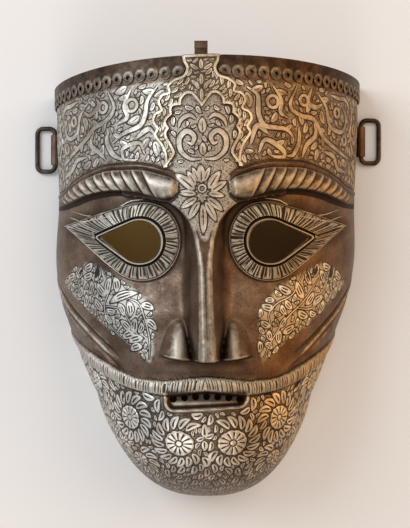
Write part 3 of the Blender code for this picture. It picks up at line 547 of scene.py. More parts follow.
def piece(name, mesh, finish, body="mask", stands_for=(), sharp=40.0):
    """Puts a mesh into the scene with its finish and on its body, and hides the pieces it stands for."""
    shown = placed(name, mesh)
    mesh.materials.clear()
    mesh.materials.append(finish)
    shaded(mesh, sharp)
    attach(shown, body)
    if stands_for:
        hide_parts(*stands_for)
    return shown


def settled(shown):
    """Puts the result of an object's modifiers into its own mesh."""
    graph = bpy.context.evaluated_depsgraph_get()
    shown.data = bpy.data.meshes.new_from_object(shown.evaluated_get(graph))
    shown.modifiers.clear()
    return shown.data


def made_solid(name, mesh, thickness):
    """A sheet given a wall of this thickness behind it, as a mesh."""
    holder = placed(name, mesh)
    wall = holder.modifiers.new("wall", "SOLIDIFY")
    wall.thickness = thickness * MM
    wall.offset = -1.0
    solid = settled(holder)
    bpy.data.objects.remove(holder)
    return solid


def written(shape, mesh):
    """The mesh with a worked shape put into it."""
    shape.to_mesh(mesh)
    shape.free()
    return mesh


def shape_of(mesh):
    """A mesh's shape, to be worked on."""
    shape = bmesh.new()
    shape.from_mesh(mesh)
    return shape


def merged(mesh, distance=0.01):
    """Joins the points of a mesh that lie on each other."""
    shape = shape_of(mesh)
    bmesh.ops.remove_doubles(shape, verts=shape.verts, dist=distance * MM)
    bmesh.ops.dissolve_degenerate(shape, edges=shape.edges, dist=distance * MM)
    return written(shape, mesh)


def outward(mesh):
    """Turns every face of a closed mesh outwards."""
    shape = shape_of(mesh)
    bmesh.ops.recalc_face_normals(shape, faces=shape.faces)
    return written(shape, mesh)


def bar(outline, low, high):
    """Points and faces of an upright prism on an outline."""
    count = len(outline)
    points = [(x, y, z) for z in (low, high) for x, y in outline]
    sides = [(k, (k + 1) % count, count + (k + 1) % count, count + k) for k in range(count)]
    return points, [tuple(range(count))[::-1], tuple(range(count, 2 * count))] + sides


def heading_of(turn):
    """The direction at each angle in radians."""
    return together(np.cos(turn), np.sin(turn))


def circle(x, y, radius, steps):
    """Points round a circle."""
    return (x, y) + radius * heading_of(np.linspace(0.0, 2.0 * np.pi, steps, endpoint=False))


def stacked(parts):
    """Many bodies as one: their points, and their faces with the points' new numbers."""
    points, faces, start = [], [], 0
    for part_points, part_faces in parts:
        points.append(np.asarray(part_points))
        faces.extend([start + k for k in face] for face in part_faces)
        start += len(part_points)
    return np.concatenate(points), faces


# Shell

def crowded(start, stop, count, crowd):
    """Places from start to stop, closer together where crowd is large."""
    fine = np.linspace(start, stop, 4001)
    weight = crowd(fine)
    total = np.concatenate([[0.0], np.cumsum(0.5 * (weight[1:] + weight[:-1]))])
    return np.interp(np.linspace(0.0, total[-1], count + 1), total, fine)


def column_crowd(angle):
    """More columns on the front than on the sides."""
    return 0.75 + 0.65 * ramp(66.0, 44.0, np.abs(angle))


def row_crowd(y):
    """More rows at the nose's base, the mouth and the eyes than on the forehead."""
    return 0.5 + 0.6 * ramp(66.0, 60.0, y) + 2.2 * bump(y - NOSE_BASE_Y, 3.0) + 0.7 * ramp(-40.0, -44.0, y)


def chin_crowd(turn):
    """More rows at the lower lip than on the rest of the chin."""
    return 1.0 + 5.0 * ramp(0.18, 0.12, turn)


def blurred(values, reach):
    """The mean of a grid over a square round each point."""
    width = 2 * reach + 1
    for _ in range(2):
        total = np.cumsum(np.pad(values, ((reach + 1, reach), (0, 0)), mode="edge"), axis=0)
        values = ((total[width:] - total[:-width]) / width).T
    return values


def pressed_in(heights, points, depth):
    """The inner face: a ball of the plate's thickness rolled under the outer one."""
    reach = 3
    padded_h = np.pad(heights, reach, mode="edge")
    padded_p = np.pad(points, ((reach, reach), (reach, reach), (0, 0)), mode="edge")
    rows, columns = heights.shape
    inner = heights - depth
    for i in range(2 * reach + 1):
        for j in range(2 * reach + 1):
            gap = length_of(padded_p[i:i + rows, j:j + columns] - points)
            under = padded_h[i:i + rows, j:j + columns] - np.sqrt(np.clip(depth ** 2 - gap ** 2, 0.0, None))
            inner = np.where(gap < depth, np.minimum(inner, under), inner)
    return inner


def lowest_near(values, reach):
    """The lowest of a grid's values in a square round each point."""
    for axis in (0, 1):
        values = np.min([np.roll(values, step, axis=axis) for step in range(-reach, reach + 1)], axis=0)
    return values


# The polished field of the cheek: points of x and height on its upper and lower edges
CHEEK_UPPER = ((22.0, -20.0), (28.0, -9.5), (36.0, -2.5), (48.0, 4.5), (60.0, 10.5),
               (68.0, 8.0), (76.0, 0.0))
CHEEK_LOWER = ((22.0, -30.0), (28.0, -38.5), (32.0, -34.5), (38.0, -29.0), (46.0, -24.5),
               (58.0, -15.0), (72.0, -3.0))


def cheek_field(x, y):
    """1 on the polished field of each cheek, falling off over its ragged edge."""
    ax = np.abs(x)
    upper = np.interp(ax, *np.array(CHEEK_UPPER).T)
    lower = np.interp(ax, *np.array(CHEEK_LOWER).T)
    between_edges = ramp(-2.5, 3.0, upper - y) * ramp(-2.5, 3.0, y - lower)
    return between_edges * ramp(24.0, 28.0, ax) * ramp(77.0, 70.0, ax)


def below_hair(angle, y, gap=1.0):
    """Where the chin is engraved: under the moustache and round the mouth."""
    lower = charted(np.abs(angle), MOUSTACHE)[1]
    return (y < lower - gap) & (in_mouth(x_at(angle, y), y) < -2.2)


def engraved_grounds(angle, x, y):
    """1 on the ground of the ornament: the forehead, the bridge and the chin."""
    upper_brow = charted(np.abs(angle), BROW)[0]
    forehead = ramp(upper_brow + 2.6, upper_brow + 4.4, y) * ramp(99.5, 97.5, y)
    bridge_half = np.interp(y, [20.0, 28.0, 34.0, 40.0, 44.0, 60.0], [0.5, 5.0, 9.5, 16.5, 15.0, 11.0])
    bridge = ramp(-0.5, 1.5, bridge_half - np.abs(x)) * ramp(19.0, 24.0, y) * ramp(62.0, 57.0, y)
    return forehead, bridge, below_hair(angle, y, 0.0) * ramp(-36.0, -44.0, y)


def silvering_and_painted_light(angle, x, y):
    """How far the brown patina is worn or polished off: 1 on the polished fields. Painted light is added
    too: more silver towards the left side, a painted highlight on the nose's wings, stronger on the
    left, and a painted sheen under the left eye.
    """
    side = np.abs(angle)
    ax = np.abs(x)
    part = place_on(BROW, side, y)[0]
    hair_part = place_on(MOUSTACHE, side, y)[0]
    forehead, bridge, chin = engraved_grounds(angle, x, y)
    lid = ramp(0.0, 0.8, -teardrop(ax, y, *LID))
    hair = ramp(-0.05, 0.3, hair_part) * ramp(1.05, 0.8, hair_part)
    fluted = ramp(0.0, 0.2, part) * ramp(1.02, 0.8, part) * ramp(8.0, 11.0, side)
    # Painted sheen on the cheek under the eye, mostly on the left
    below_eye = bump(ax - 27.0, 11.0) * bump(y + 3.0, 9.0)
    # Painted highlight on the front of the nose's wings, stronger on the left
    wing = bump(ax - 10.8, 4.2) * ramp(-18.0, -28.0, y) * ramp(-38.0, -35.5, y)
    under_hair = ramp(0.0, -0.1, hair_part)
    lip = bump(in_mouth(x, y) + 1.0, 0.5) * under_hair
    recess = ramp(0.0, 1.0, in_mouth(x, y)) * under_hair
    # More silver towards the left side: painted cool light from the left
    left = ramp(24.0, -24.0, x)
    forehead = forehead * np.maximum(0.44 + 0.16 * left, 0.85 * ramp(19.0, 14.0, ax))
    fields = [forehead, bridge, (0.5 + 0.12 * left) * lid, (0.8 + 0.15 * left) * cheek_field(x, y),
              hair, 0.06 * fluted, 0.3 * chin, (0.04 + 0.26 * left) * below_eye, (0.25 + 0.4 * left) * wing,
              0.8 * lip, 0.75 * recess]
    return np.max(fields, axis=0)


def painted_shade(x, y):
    """Painted shade: dark in the upper part of the mouth's recess and just inside its edge, in the
    grooves beside the nose, down the middle of the nose, under the nose, over the moustache, in the
    sockets round the tops of the lids and in a patch under the left eye.
    """
    ax = np.abs(x)
    inside = in_mouth(x, y)
    mouth = np.maximum(0.7 * bump(inside - 0.4, 0.6), 0.9 * ramp(0.0, 1.0, inside) * ramp(-58.2, -56.4, y))
    mouth = mouth * ramp(-50.5, -52.5, y)
    valley = 0.85 * bump(ax - 7.4, 1.4) * ramp(-20.0, -27.0, y)
    nose = np.maximum(valley, 0.5 * bump(ax, 1.5) * ramp(22.0, 12.0, y)) * ramp(-37.5, -35.0, y)
    below_eye = 0.25 * bump(x + 27.0, 12.0) * bump(y + 4.0, 10.0)
    from_lid = teardrop(ax, y, *LID)
    socket = ramp(6.0, 0.5, from_lid) * ramp(-0.3, 0.3, from_lid) * ramp(14.0, 26.0, y)
    under_nose = bump(y - NOSE_BASE_Y + 1.4, 1.6) * ramp(NOSE_HALF_BASE + 2.0, NOSE_HALF_BASE - 3.0, ax)
    above_hair = bump(y + 43.2, 1.3) * ramp(40.0, 10.0, ax)
    return np.max([mouth, nose, below_eye, 0.5 * socket, 0.6 * under_nose, 0.4 * above_hair], axis=0)


def write_finish(mesh, angles, heights, raised, hidden, cut=0.0, shine=0.0):
    """Stores where the surface has silver and painted light, wear, painted shade, cuts (some of them
    painted shadow) and matting; the points past the grid's own belong to the hidden side."""
    x = x_at(angles, heights)
    near = blurred(raised, 2)
    worn = raised - near + 0.04 * (near - blurred(raised, 6))
    fields = {"silver_and_painted_light": np.maximum(silvering_and_painted_light(angles, x, heights), shine), "worn": np.clip(worn, -1.0, 1.0),
              "painted_shade": painted_shade(x, heights), "cut": cut,
              "matted": np.max(engraved_grounds(angles, x, heights), axis=0)}
    for name, values in fields.items():
        write_field(mesh, name, np.concatenate([(values + 0.0 * x).ravel(), np.zeros(hidden)]))


def teardrop_turns(radius, tip, tip_radius):
    """Where a teardrop's tip points, and how far round from there its sides begin."""
    return math.atan2(tip[1], tip[0]), math.acos((radius - tip_radius) / math.hypot(*tip))


def eye_outline(side):
    """Points round the teardrop hole of one eye."""
    heading, lean = teardrop_turns(*HOLE)
    turns = heading + np.linspace(lean, 2.0 * np.pi - lean, 41)
    ends = heading + np.linspace(-lean, lean, 7)
    round_end = HOLE_RADIUS * heading_of(turns)
    tip_end = HOLE_TIP + HOLE_TIP_RADIUS * heading_of(ends)
    outline = ((EYE_X, EYE_Y) + np.concatenate([round_end, tip_end])) * (side, 1.0)
    return outline if side > 0.0 else outline[::-1]


def front_lean(y, z):
    """Where the middle line of the front lies across the mask."""
    return float(hand_work(np.array([0.0, y, z]))[0])


def hole_bars():
    """All the prisms that pierce or notch the plate, as points and faces."""
    bars = []
    for side in (-1.0, 1.0):
        bars.append(bar(eye_outline(side) + (front_lean(EYE_Y, 70.0), 0.0), *EYE_BAR))
    middle = (MOUTH_HOLES - 1) / 2.0
    for k in range(MOUTH_HOLES):
        x = front_lean(MOUTH_HOLE_Y, 77.0) + (k - middle) * MOUTH_HOLE_PITCH
        y = MOUTH_HOLE_Y - MOUTH_HOLE_DROP * ((k - middle) / middle) ** 2
        bars.append(bar(circle(x, y, MOUTH_HOLE_RADIUS, 24), *MOUTH_BAR))
    for label, side in SIDES.items():
        left, right = sorted(side * x for x in NOTCH_X)
        half = HINGE_LENGTH / 2.0 + 0.5
        low, high = HINGE_HEIGHTS[label] - half, HINGE_HEIGHTS[label] + half
        bars.append(bar([(left, low), (right, low), (right, high), (left, high)], -1.0, NOTCH_HEIGHT))
    return mesh_from("holes", *stacked(bars))


def shell_grid():
    """Angles, heights and relief of the fine grid, with its outer and inner points."""
    angle = crowded(-90.0, 90.0, COLUMNS, column_crowd)
    face_y = crowded(RIM_Y, CHIN_START_Y, FACE_ROWS, row_crowd)
    turn = crowded(0.0, math.pi / 2.0, CHIN_ROWS, chin_crowd)[1:]
    chin_y = CHIN_START_Y - CHIN_LENGTH * np.sin(turn) ** (2.0 / CHIN_DEPTH_POWER)
    angles, heights = np.meshgrid(angle, np.concatenate([face_y, chin_y]))
    base = base_surface(angles, heights)
    normal = base_normal(angles, heights)
    normal[-1] = (0.0, -1.0, 0.0)
    outer_h = relief(angles, base[..., 0], heights, 0.4)
    outer_h[-1] = outer_h[-1].mean()
    inner_h = lowest_near(pressed_in(outer_h, base, PLATE), 2)
    outer = hand_work(base + outer_h[..., None] * normal)
    inner = hand_work(base + inner_h[..., None] * normal)
    return angles, heights, outer_h, outer, inner[::INNER_STRIDE, ::INNER_STRIDE]


def shell_mesh(outer, inner):
    """A closed wall between a fine outer grid and a coarser inner one, joined by
    six-sided faces round the edge."""
    far = numbers(*outer.shape[:2])
    near = numbers(*inner.shape[:2], far.size)
    ring, inner_ring = border(far), border(near)
    outside = [np.roll(ring, -step)[::INNER_STRIDE] for step in range(INNER_STRIDE, -1, -1)]
    edge = np.stack(outside + [inner_ring, np.roll(inner_ring, -1)], axis=-1)
    faces = faces_of_grid(far).tolist() + faces_of_grid(near)[:, ::-1].tolist() + edge.tolist()
    return mesh_from("mask_plate", np.concatenate([outer.reshape(-1, 3), inner.reshape(-1, 3)]), faces)


def fill_fields(mesh, names):
    """Gives the points that a cut has added the values of their nearest old point."""
    old = read_field(mesh, "drawn") > 0.999
    points = points_of(mesh)
    tree = KDTree(int(old.sum()))
    for k in np.flatnonzero(old):
        tree.insert(points[k], int(k))
    tree.balance()
    new = np.flatnonzero(~old)
    nearest = np.array([tree.find(points[k])[1] for k in new], int)
    for name in names:
        values = read_field(mesh, name)
        values[new] = values[nearest]
        mesh.attributes[name].data.foreach_set("value", values)


def mask_plate(finish):
    """The embossed plate as a fine grid, with fields for its finish, then pierced."""
    angles, heights, outer_h, outer, inner = shell_grid()
    mesh = shell_mesh(outer, inner)
    write_finish(mesh, angles, heights, outer_h, inner[..., 0].size)
    write_field(mesh, "drawn", np.ones(len(mesh.vertices)))
    write_field(mesh, "inner", np.arange(len(mesh.vertices)) >= angles.size)
    merged(mesh)
    shown = piece("mask_plate", mesh, finish, stands_for=("mask_shell",))
    cutter = placed("holes", hole_bars())
    boolean = shown.modifiers.new("holes", "BOOLEAN")
    boolean.operation = "DIFFERENCE"
    boolean.solver = "EXACT"
    boolean.object = cutter
    mesh = settled(shown)
    bpy.data.objects.remove(cutter)
    fill_fields(mesh, ("silver_and_painted_light", "worn", "painted_shade", "cut", "inner", "matted"))
    shaded(mesh, 65.0)
    return shown


# Skins: parts of the embossed surface on grids of their own

SKIN_DEPTH = 1.4
EDGE_DEPTH = 0.12


def skin(name, angles, heights, raised, finish, cut, shine=0.0, closed=False):
    """A closed skin over the plate on a grid that follows a form: its top stands out
    by raised, and a few of its rows are repeated SKIN_DEPTH under the surface."""
    rows, columns = angles.shape
    picked = np.unique(np.linspace(0, rows - 1, 7).astype(int))
    top = on_face(angles, heights, raised)
    low = on_face(angles[picked], heights[picked], np.full((len(picked), columns), -SKIN_DEPTH))
    index = numbers(rows, columns)
    under = numbers(len(picked), columns, index.size)
    if closed:
        index = np.concatenate([index, index[:, :1]], axis=1)
        under = np.concatenate([under, under[:, :1]], axis=1)
    faces = []
    for near, far in ((index[:-1], index[1:]), (under[1:], under[:-1]), (under[:1], index[:1]),
                      (index[-1:], under[-1:])):
        faces += quads(near[:, :-1], far[:, :-1], far[:, 1:], near[:, 1:]).tolist()
    if not closed:
        faces.append(index[:, 0].tolist() + under[::-1, 0].tolist())
        faces.append(index[::-1, -1].tolist() + under[:, -1].tolist())
    mesh = mesh_from(name, np.concatenate([top.reshape(-1, 3), low.reshape(-1, 3)]), faces)
    height = relief(angles, x_at(angles, heights), heights) + raised
    write_finish(mesh, angles, heights, height, low[..., 0].size, cut, shine)
    return piece(name, outward(mesh), finish, sharp=50.0)


def sunk_edge(raised):
    """A skin's heights with its outermost points set into the plate."""
    raised[[0, -1]] = -EDGE_DEPTH
    raised[:, [0, -1]] = -EDGE_DEPTH
    return raised


def teardrop_ring(radius, tip, tip_radius, counts):
    """Points round a teardrop and the outward direction at each: its round end, a
    side, its tip and the other side, each in a set number of steps."""
    heading, lean = teardrop_turns(radius, tip, tip_radius)
    lower, upper = heading - lean, heading + lean
    round_end, tip_end = (np.zeros(2), radius), (np.array(tip), tip_radius)
    places, ways = [], []
    for start, end, turn, last_turn, count in (
            (round_end, round_end, upper, lower + 2.0 * math.pi, counts[0]),
            (round_end, tip_end, lower, lower, counts[1]),
            (tip_end, tip_end, lower, upper, counts[2]),
            (tip_end, round_end, upper, upper, counts[1])):
        way = heading_of(np.linspace(turn, last_turn, count, endpoint=False))
        first, last = [middle + size * way for middle, size in (start, end)]
        places.append(first + (last - first) * np.linspace(0.0, 1.0, count, endpoint=False)[:, None])
        ways.append(way)
    return np.concatenate(places) + (EYE_X, EYE_Y), np.concatenate(ways)


# Rings of the eye: distance out from the hole or in from the lid's edge, and height
EYE_INNER = np.array([(-0.02, -1.3), (0.0, 0.1), (0.1, 0.45), (0.5, 0.45), (0.65, 0.0), (0.85, -0.85),
                      (1.4, -0.95), (1.75, -0.5), (2.0, 0.16)])
EYE_OUTER = np.array([(1.2, -0.1), (1.05, -0.28), (0.9, 0.1), (0.7, 0.34), (0.4, 0.36), (0.2, 0.2),
                      (0.0, -0.3), (-0.25, -0.9)])
EYE_BAND = np.array([0.03, 0.17, 0.33, 0.5, 0.67, 0.83, 0.97])[:, None]
HATCH_PITCH = 1.75
FINE_HATCH_PITCH = 0.85
HATCH_DEPTH = 0.34


def run_along(steps):
    """The distance run at the start and after each step."""
    return np.concatenate([[0.0], np.cumsum(length_of(steps))])


def hatched(run, pitch, seed, level=-0.1):
    """1 in the cut strokes and 0 between them: a wave whose pace wavers, cut where it
    stands over the level."""
    rng = np.random.default_rng(seed)
    waver = sum(0.24 * np.sin(run * rate + rng.uniform(0.0, 6.3)) for rate in (0.37, 0.91, 1.73))
    share = sum(0.25 * np.sin(run * rate + rng.uniform(0.0, 6.3)) for rate in (0.53, 1.31, 2.9))
    return ramp(level + share, level + 0.45 + share, np.cos(2.0 * np.pi * (run + waver) / pitch))


def eye_ring(label, finish):
    """The lid: rings that keep their distance from the hole and from the lid's edge,
    with a band of cut strokes between them."""
    side = SIDES[label]
    counts = (400, 150, 20)
    hole, hole_way = teardrop_ring(*HOLE, counts)
    edge, edge_way = teardrop_ring(*LID, counts)
    across = edge - hole
    inner = EYE_INNER[:, :1] / (across * hole_way).sum(axis=-1)
    outer = 1.0 - EYE_OUTER[:, :1] / (across * edge_way).sum(axis=-1)
    band = inner[-1] + (outer[0] - inner[-1]) * EYE_BAND
    share = np.concatenate([inner, band, outer])
    place = hole + across * share[..., None]
    middle = place[len(inner) + len(EYE_BAND) // 2]
    run = run_along(np.diff(middle, axis=0))
    run = run * np.round(run[-1] / HATCH_PITCH) * HATCH_PITCH / run[-1]
    seed = 3 if side > 0.0 else 4
    fine = 0.6 * hatched(run, FINE_HATCH_PITCH, seed + 4, 0.3)
    ends = 0.9 + 0.3 * np.sin(2.3 * run) * np.sin(0.71 * run)
    part = np.concatenate([0.0 * inner, EYE_BAND + 0.0 * run, 0.0 * outer])
    strokes = np.maximum(hatched(run, HATCH_PITCH, seed), fine) * ramp(ends + 0.1, ends - 0.1, part)
    in_band = np.repeat([0.0, 1.0, 0.0], [len(inner), len(EYE_BAND), len(outer)])[:, None]
    raised = np.concatenate([EYE_INNER[:, 1:], 0.14 + 0.0 * EYE_BAND, EYE_OUTER[:, 1:]]) + 0.0 * share
    # Dark where the ring sinks below 0.05: painted shade in its grooves; the strokes in the band are
    # engraved
    cut = np.maximum(raised < 0.05, in_band * strokes)
    cut[-2:] = 0.0
    raised = raised - HATCH_DEPTH * in_band * strokes
    angles = side * angle_at(place[..., 0], place[..., 1])
    shine = 0.96 * in_band * (1.0 - strokes)
    return skin("eye_ring_" + label, angles, place[..., 1], raised, finish, cut, shine, closed=True)


def brow_skin(label, finish):
    """The fluted brow with the cliff under it and the roll over it; its dark underside and the dark
    line in each flute's groove are painted shadow, and its bright crests are painted highlights.
    """
    side = SIDES[label]
    angle = np.linspace(8.4, 86.0, 260)
    upper, lower = charted(angle, BROW)
    below = np.linspace(-2.4, 0.0, 8)[:-1, None]
    above = np.linspace(0.0, 4.0, 13)[1:, None]
    turn = np.linspace(0.0, np.pi, 19)[:, None]
    across = 0.5 - 0.5 * np.cos(turn)
    heights = np.concatenate([lower + below, lower + (upper - lower) * across, upper + above])
    angles = side * np.broadcast_to(angle, heights.shape)
    raised = sunk_edge(np.full(heights.shape, 0.1))
    part = (heights - lower) / (upper - lower)
    phase = flute_phase(angle, part)
    past = phase - np.floor(phase)
    within = ramp(0.0, 0.1, part) * ramp(1.0, 0.9, part)
    # Painted shadow: a dark line in each flute's groove, and dark under the brow's lower edge
    grooves = 0.85 * bump(past - FLUTE_FALL + 0.03, 0.1) * within * (phase > 0.0)
    cut = np.max([grooves, 0.97 * ramp(0.1, -0.02, part), 0.8 * bump(heights - upper - 3.0, 0.4),
                  0.6 * bump(heights - upper, 0.35)], axis=0)
    # Painted highlight: bright crests, and a bright line just under the upper edge
    crest = np.maximum(ramp(0.84, 0.98, past), ramp(0.08, 0.0, past) * (phase > 0.0))
    crest = np.where(phase > -1.0, crest, 0.0)
    face = np.where(phase > 0.0, 0.25, 0.36)
    shine = np.maximum(np.maximum(face, 0.95 * crest) * within, 0.8 * bump(part - 0.94, 0.04))
    shine = shine * (1.0 - 0.6 * ramp(34.0, 70.0, angle)) * ramp(86.0, 66.0, angle)
    return skin("brow_" + label, angles, heights, raised, finish, cut, shine)


HAIR_PITCH = 1.45
HAIR_DEPTH = 0.4
HAIR_LEVEL = 0.2
HAIR_SLANT = 1.7


def moustache_skin(finish):
    """The moustache, combed to both sides by fine cut strokes."""
    fine = np.linspace(-87.5, 87.5, 2001)
    rise = np.interp(np.abs(fine), MOUSTACHE[:, 0], 0.5 * (MOUSTACHE[:, 1] + MOUSTACHE[:, 2]))
    spots = base_surface(fine, rise)
    run = run_along(np.diff(spots, axis=0))
    angle = np.interp(np.linspace(0.0, run[-1], 1000), run, fine)
    from_middle = np.abs(np.interp(angle, fine, run) - np.interp(-0.5, fine, run))
    upper, lower = charted(np.abs(angle), MOUSTACHE)
    middle = 0.5 - 0.5 * np.cos(np.linspace(0.25, np.pi - 0.25, 12))
    part = np.concatenate([[-0.1, 0.0], middle, [1.0, 1.1]])[:, None]
    heights = lower + (upper - lower) * part
    angles = np.broadcast_to(angle, heights.shape)
    place = from_middle + HAIR_SLANT * part
    strokes = [hatched(place, HAIR_PITCH, seed, HAIR_LEVEL) for seed in (4, 6)]
    strokes = np.where(angle < -0.5, *strokes)
    strokes = strokes * ramp(0.0, 0.12, part) * ramp(1.0, 0.88, part)
    raised = sunk_edge(0.14 - HAIR_DEPTH * strokes)
    return skin("moustache", angles, heights, raised, finish, strokes)


# Chiselled ornament

def spread(angle, y, right, up):
    """The angles and heights that lie so many millimetres to the right and up."""
    across, along = slopes(angle, y)
    return angle + right / length_of(across), y + up / length_of(along)


# A blade's columns: how far across it, and how far out on its dark cut edge
BLADE_ACROSS = np.array([-1.0, -1.0, -0.8, 0.0, 0.8, 1.0, 1.0])
BLADE_CUT = np.array([-1.0, 0.0, 0.0, 0.0, 0.0, 0.0, 1.0])
BLADE_STEPS = 6
CUT_WIDTH = 0.46
CUT_HEIGHT = 0.05
CUT_EDGE_HEIGHT = 0.6 * CUT_HEIGHT


def blade_width(along):
    """A blade is widest a little past its middle and rounds off at its end."""
    return np.sin(np.pi * np.clip(along, 0.0, 1.0) ** 0.9) ** 0.75


def along_blade(rows, along, sideways):
    """Angles and heights of points along and beside the spines of blades, which are
    parabolas, one for each row of angle, y, heading, length, half width and bend."""
    angle, y, heading, length, _, bend = np.moveaxis(rows, -1, 0)[..., None, None]
    forward = length * along
    aside = bend * length * along * (1.0 - along) + sideways
    turn = np.radians(heading)
    right = forward * np.cos(turn) - aside * np.sin(turn)
    up = forward * np.sin(turn) + aside * np.cos(turn)
    return spread(angle + 0.0 * right, y + 0.0 * up, right, up)


def leaves(rows, height, ground=on_face, lift=0.0, cut=CUT_WIDTH):
    """Closed blades on the ground: a flat dark edge all round, a steep side and a
    back that sags a little to its middle line."""
    rows = np.asarray(rows, float)
    length, half = rows[:, 3][:, None, None], rows[:, 4][:, None, None]
    steps = np.concatenate([[0.0], np.linspace(0.0, 1.0, BLADE_STEPS), [1.0]])[None, :, None]
    ends = np.zeros(BLADE_STEPS + 2)
    ends[0], ends[-1] = -1.0, 1.0
    ends = ends[None, :, None]
    along = steps + ends * cut / length
    wide = half * (0.12 + 0.88 * blade_width(steps)) * np.where(np.abs(ends) > 0.5, 0.5, 1.0)
    sideways = wide * BLADE_ACROSS + cut * BLADE_CUT
    where_angle, where_y = along_blade(rows, along, sideways)
    on_cut = np.maximum(np.abs(BLADE_CUT), np.abs(ends))
    foot = np.maximum(np.abs(BLADE_ACROSS) > 0.9, np.abs(steps - 0.5) > 0.49) * (on_cut < 0.5)
    sag = 0.35 * (np.abs(BLADE_ACROSS) < 0.1) * np.clip(blade_width(steps), 0.0, 1.0)
    out = np.where(on_cut > 0.5, CUT_EDGE_HEIGHT, np.where(foot > 0.5, CUT_HEIGHT, height * (1.0 - sag)))
    points = ground(where_angle, where_y, out + 0.0 * where_y + lift)
    grid = numbers(*points.shape[1:3])
    starts = np.arange(len(points))[:, None] * grid.size
    faces = (faces_of_grid(grid)[:, ::-1] + starts[..., None]).reshape(-1, 4).tolist()
    faces += (border(grid) + starts).tolist()
    dark = np.maximum(on_cut, 0.5 * foot)
    field = together(steps, BLADE_ACROSS, dark).reshape(-1, 3)
    return points.reshape(-1, 3), faces, np.tile(field, (len(points), 1))


RIBBON_ACROSS = np.array([-1.0, -1.0, -0.75, 0.0, 0.75, 1.0, 1.0])
RIBBON_HEIGHT = np.array([0.0, 0.0, 1.0, 0.9, 1.0, 0.0, 0.0])


def steps_of(path, closed=False):
    """The scale of a path of angles and heights, and its direction in millimetres."""
    across, along = slopes(*path.T)
    scale = together(length_of(across), length_of(along))
    step = np.roll(path, -1, axis=0) - np.roll(path, 1, axis=0) if closed else np.gradient(path, axis=0)
    return scale, unit(step * scale)


def ribbon(path, half, height, ground=on_face, lift=0.0, closed=False, cut=CUT_WIDTH):
    """A raised strap along a path of angles and heights, set square to the path at
    each point: a flat dark edge, a steep side and a flat back; its ends taper."""
    path = np.asarray(path, float)
    scale, step = steps_of(path, closed)
    side = together(-step[:, 1], step[:, 0])
    run = np.linspace(0.0, 1.0, len(path))
    taper = np.ones(len(path)) if closed else np.sin(np.pi * (0.04 + 0.92 * run)) ** 0.6
    wide = half * taper[:, None] * RIBBON_ACROSS + cut * BLADE_CUT
    offset = side[:, None, :] * wide[..., None] / scale[:, None]
    back = CUT_HEIGHT + height * RIBBON_HEIGHT * taper[:, None]
    out = np.where(np.abs(BLADE_CUT) > 0.5, CUT_EDGE_HEIGHT, back)
    points = ground(path[:, :1] + offset[..., 0], path[:, 1:] + offset[..., 1], out + lift)
    index = numbers(*points.shape[:2])
    after = np.roll(index, -1, axis=0) if closed else index[1:]
    before = index if closed else index[:-1]
    faces = quads(before, after, np.roll(after, -1, axis=1), np.roll(before, -1, axis=1)).tolist()
    if not closed:
        faces += [index[0].tolist(), index[-1, ::-1].tolist()]
    dark = np.maximum(np.abs(BLADE_CUT), 0.5 * (RIBBON_HEIGHT < 0.1))
    field = together(0.0 * run[:, None], RIBBON_ACROSS, dark)
    return points.reshape(-1, 3), faces, field.reshape(-1, 3)


def rosette(angle, y, radius, petals, height):
    """A round flower: its petals are parted by grooves, widest half way out, round a
    small boss in a ring groove, and a dark edge runs round it."""
    near = np.array([0.1, 0.2, 0.25, 0.3, 0.42, 0.56, 0.7, 0.84, 0.94, 1.0, 1.0])[:, None]
    turns = petals * 8
    turn = np.linspace(0.0, 2.0 * np.pi, turns, endpoint=False)[None]
    place = np.abs(np.mod(turn * petals / (2.0 * np.pi), 1.0) - 0.5) * 2.0
    rings = len(near)
    last = np.zeros((rings, 1))
    last[-1] = 1.0
    rim = 1.0 - 0.07 * ramp(0.6, 1.0, near) * place ** 3
    reach = radius * near * rim + CUT_WIDTH * last
    parting = ramp(0.55, 0.95, place) * ramp(0.26, 0.42, near) * ramp(0.98, 0.8, near)
    ring_groove = bump(near - 0.25, 0.045)
    foot = (near > 0.99) & (last < 0.5)
    out = height * (1.0 - 0.85 * np.maximum(parting, ring_groove))
    out = np.where(last > 0.5, CUT_EDGE_HEIGHT, np.where(foot, CUT_HEIGHT, out + 0.0 * turn))
    right, up = reach * np.cos(turn), reach * np.sin(turn)
    points = on_face(*spread(angle + 0.0 * reach, y + 0.0 * reach, right, up), out).reshape(-1, 3)
    middle = on_face(np.array([angle]), np.array([y]), np.array([height * 1.1]))
    index = numbers(rings, turns)
    after = np.roll(index, -1, axis=1)
    faces = quads(index[:-1], index[1:], after[1:], after[:-1]).tolist()
    faces += [(index.size, int(index[0, k]), int(after[0, k])) for k in range(turns)]
    faces.append(index[-1, ::-1].tolist())
    dark = np.maximum(np.maximum(parting, ring_groove), last + 0.5 * foot)
    field = together(0.0 * reach, 0.0, dark).reshape(-1, 3)
    return np.concatenate([points, middle]), faces, np.concatenate([field, [(0.0, 0.0, 0.0)]])


class Packing:
    """Keeps where ornament lies, so that new leaves are set between it."""

    def __init__(self):
        self.points = np.full((1, 3), 1e6)
        self.reach = np.zeros(1)

    def take(self, points, reach):
        """Marks points on the plain plate as taken, this far round each."""
        self.points = np.concatenate([self.points, points])
        self.reach = np.concatenate([self.reach, np.broadcast_to(reach, len(points))])

    def take_path(self, path, reach):
        """Marks a path of angles and heights."""
        self.take(base_surface(*path.T), reach)

    def take_leaves(self, rows):
        """Marks blades along their spines."""
        points, reach = spines(np.asarray(rows, float))[1:]
        self.take(points.reshape(-1, 3), reach.ravel())

    def room(self, points, reach):
        """How far these points stay clear of all that is taken."""
        gaps = length_of(points[:, None] - self.points[None]) - self.reach
        return (gaps - reach[:, None]).min()


SPINE_STEPS = np.array([0.08, 0.3, 0.52, 0.74, 0.95])


def spines(rows):
    """Angles and heights, points and half widths along the middles of blades."""
    where = [part[..., 0] for part in along_blade(rows, SPINE_STEPS[:, None], 0.0)]
    return where, base_surface(*where), rows[..., 4, None] * blade_width(SPINE_STEPS)


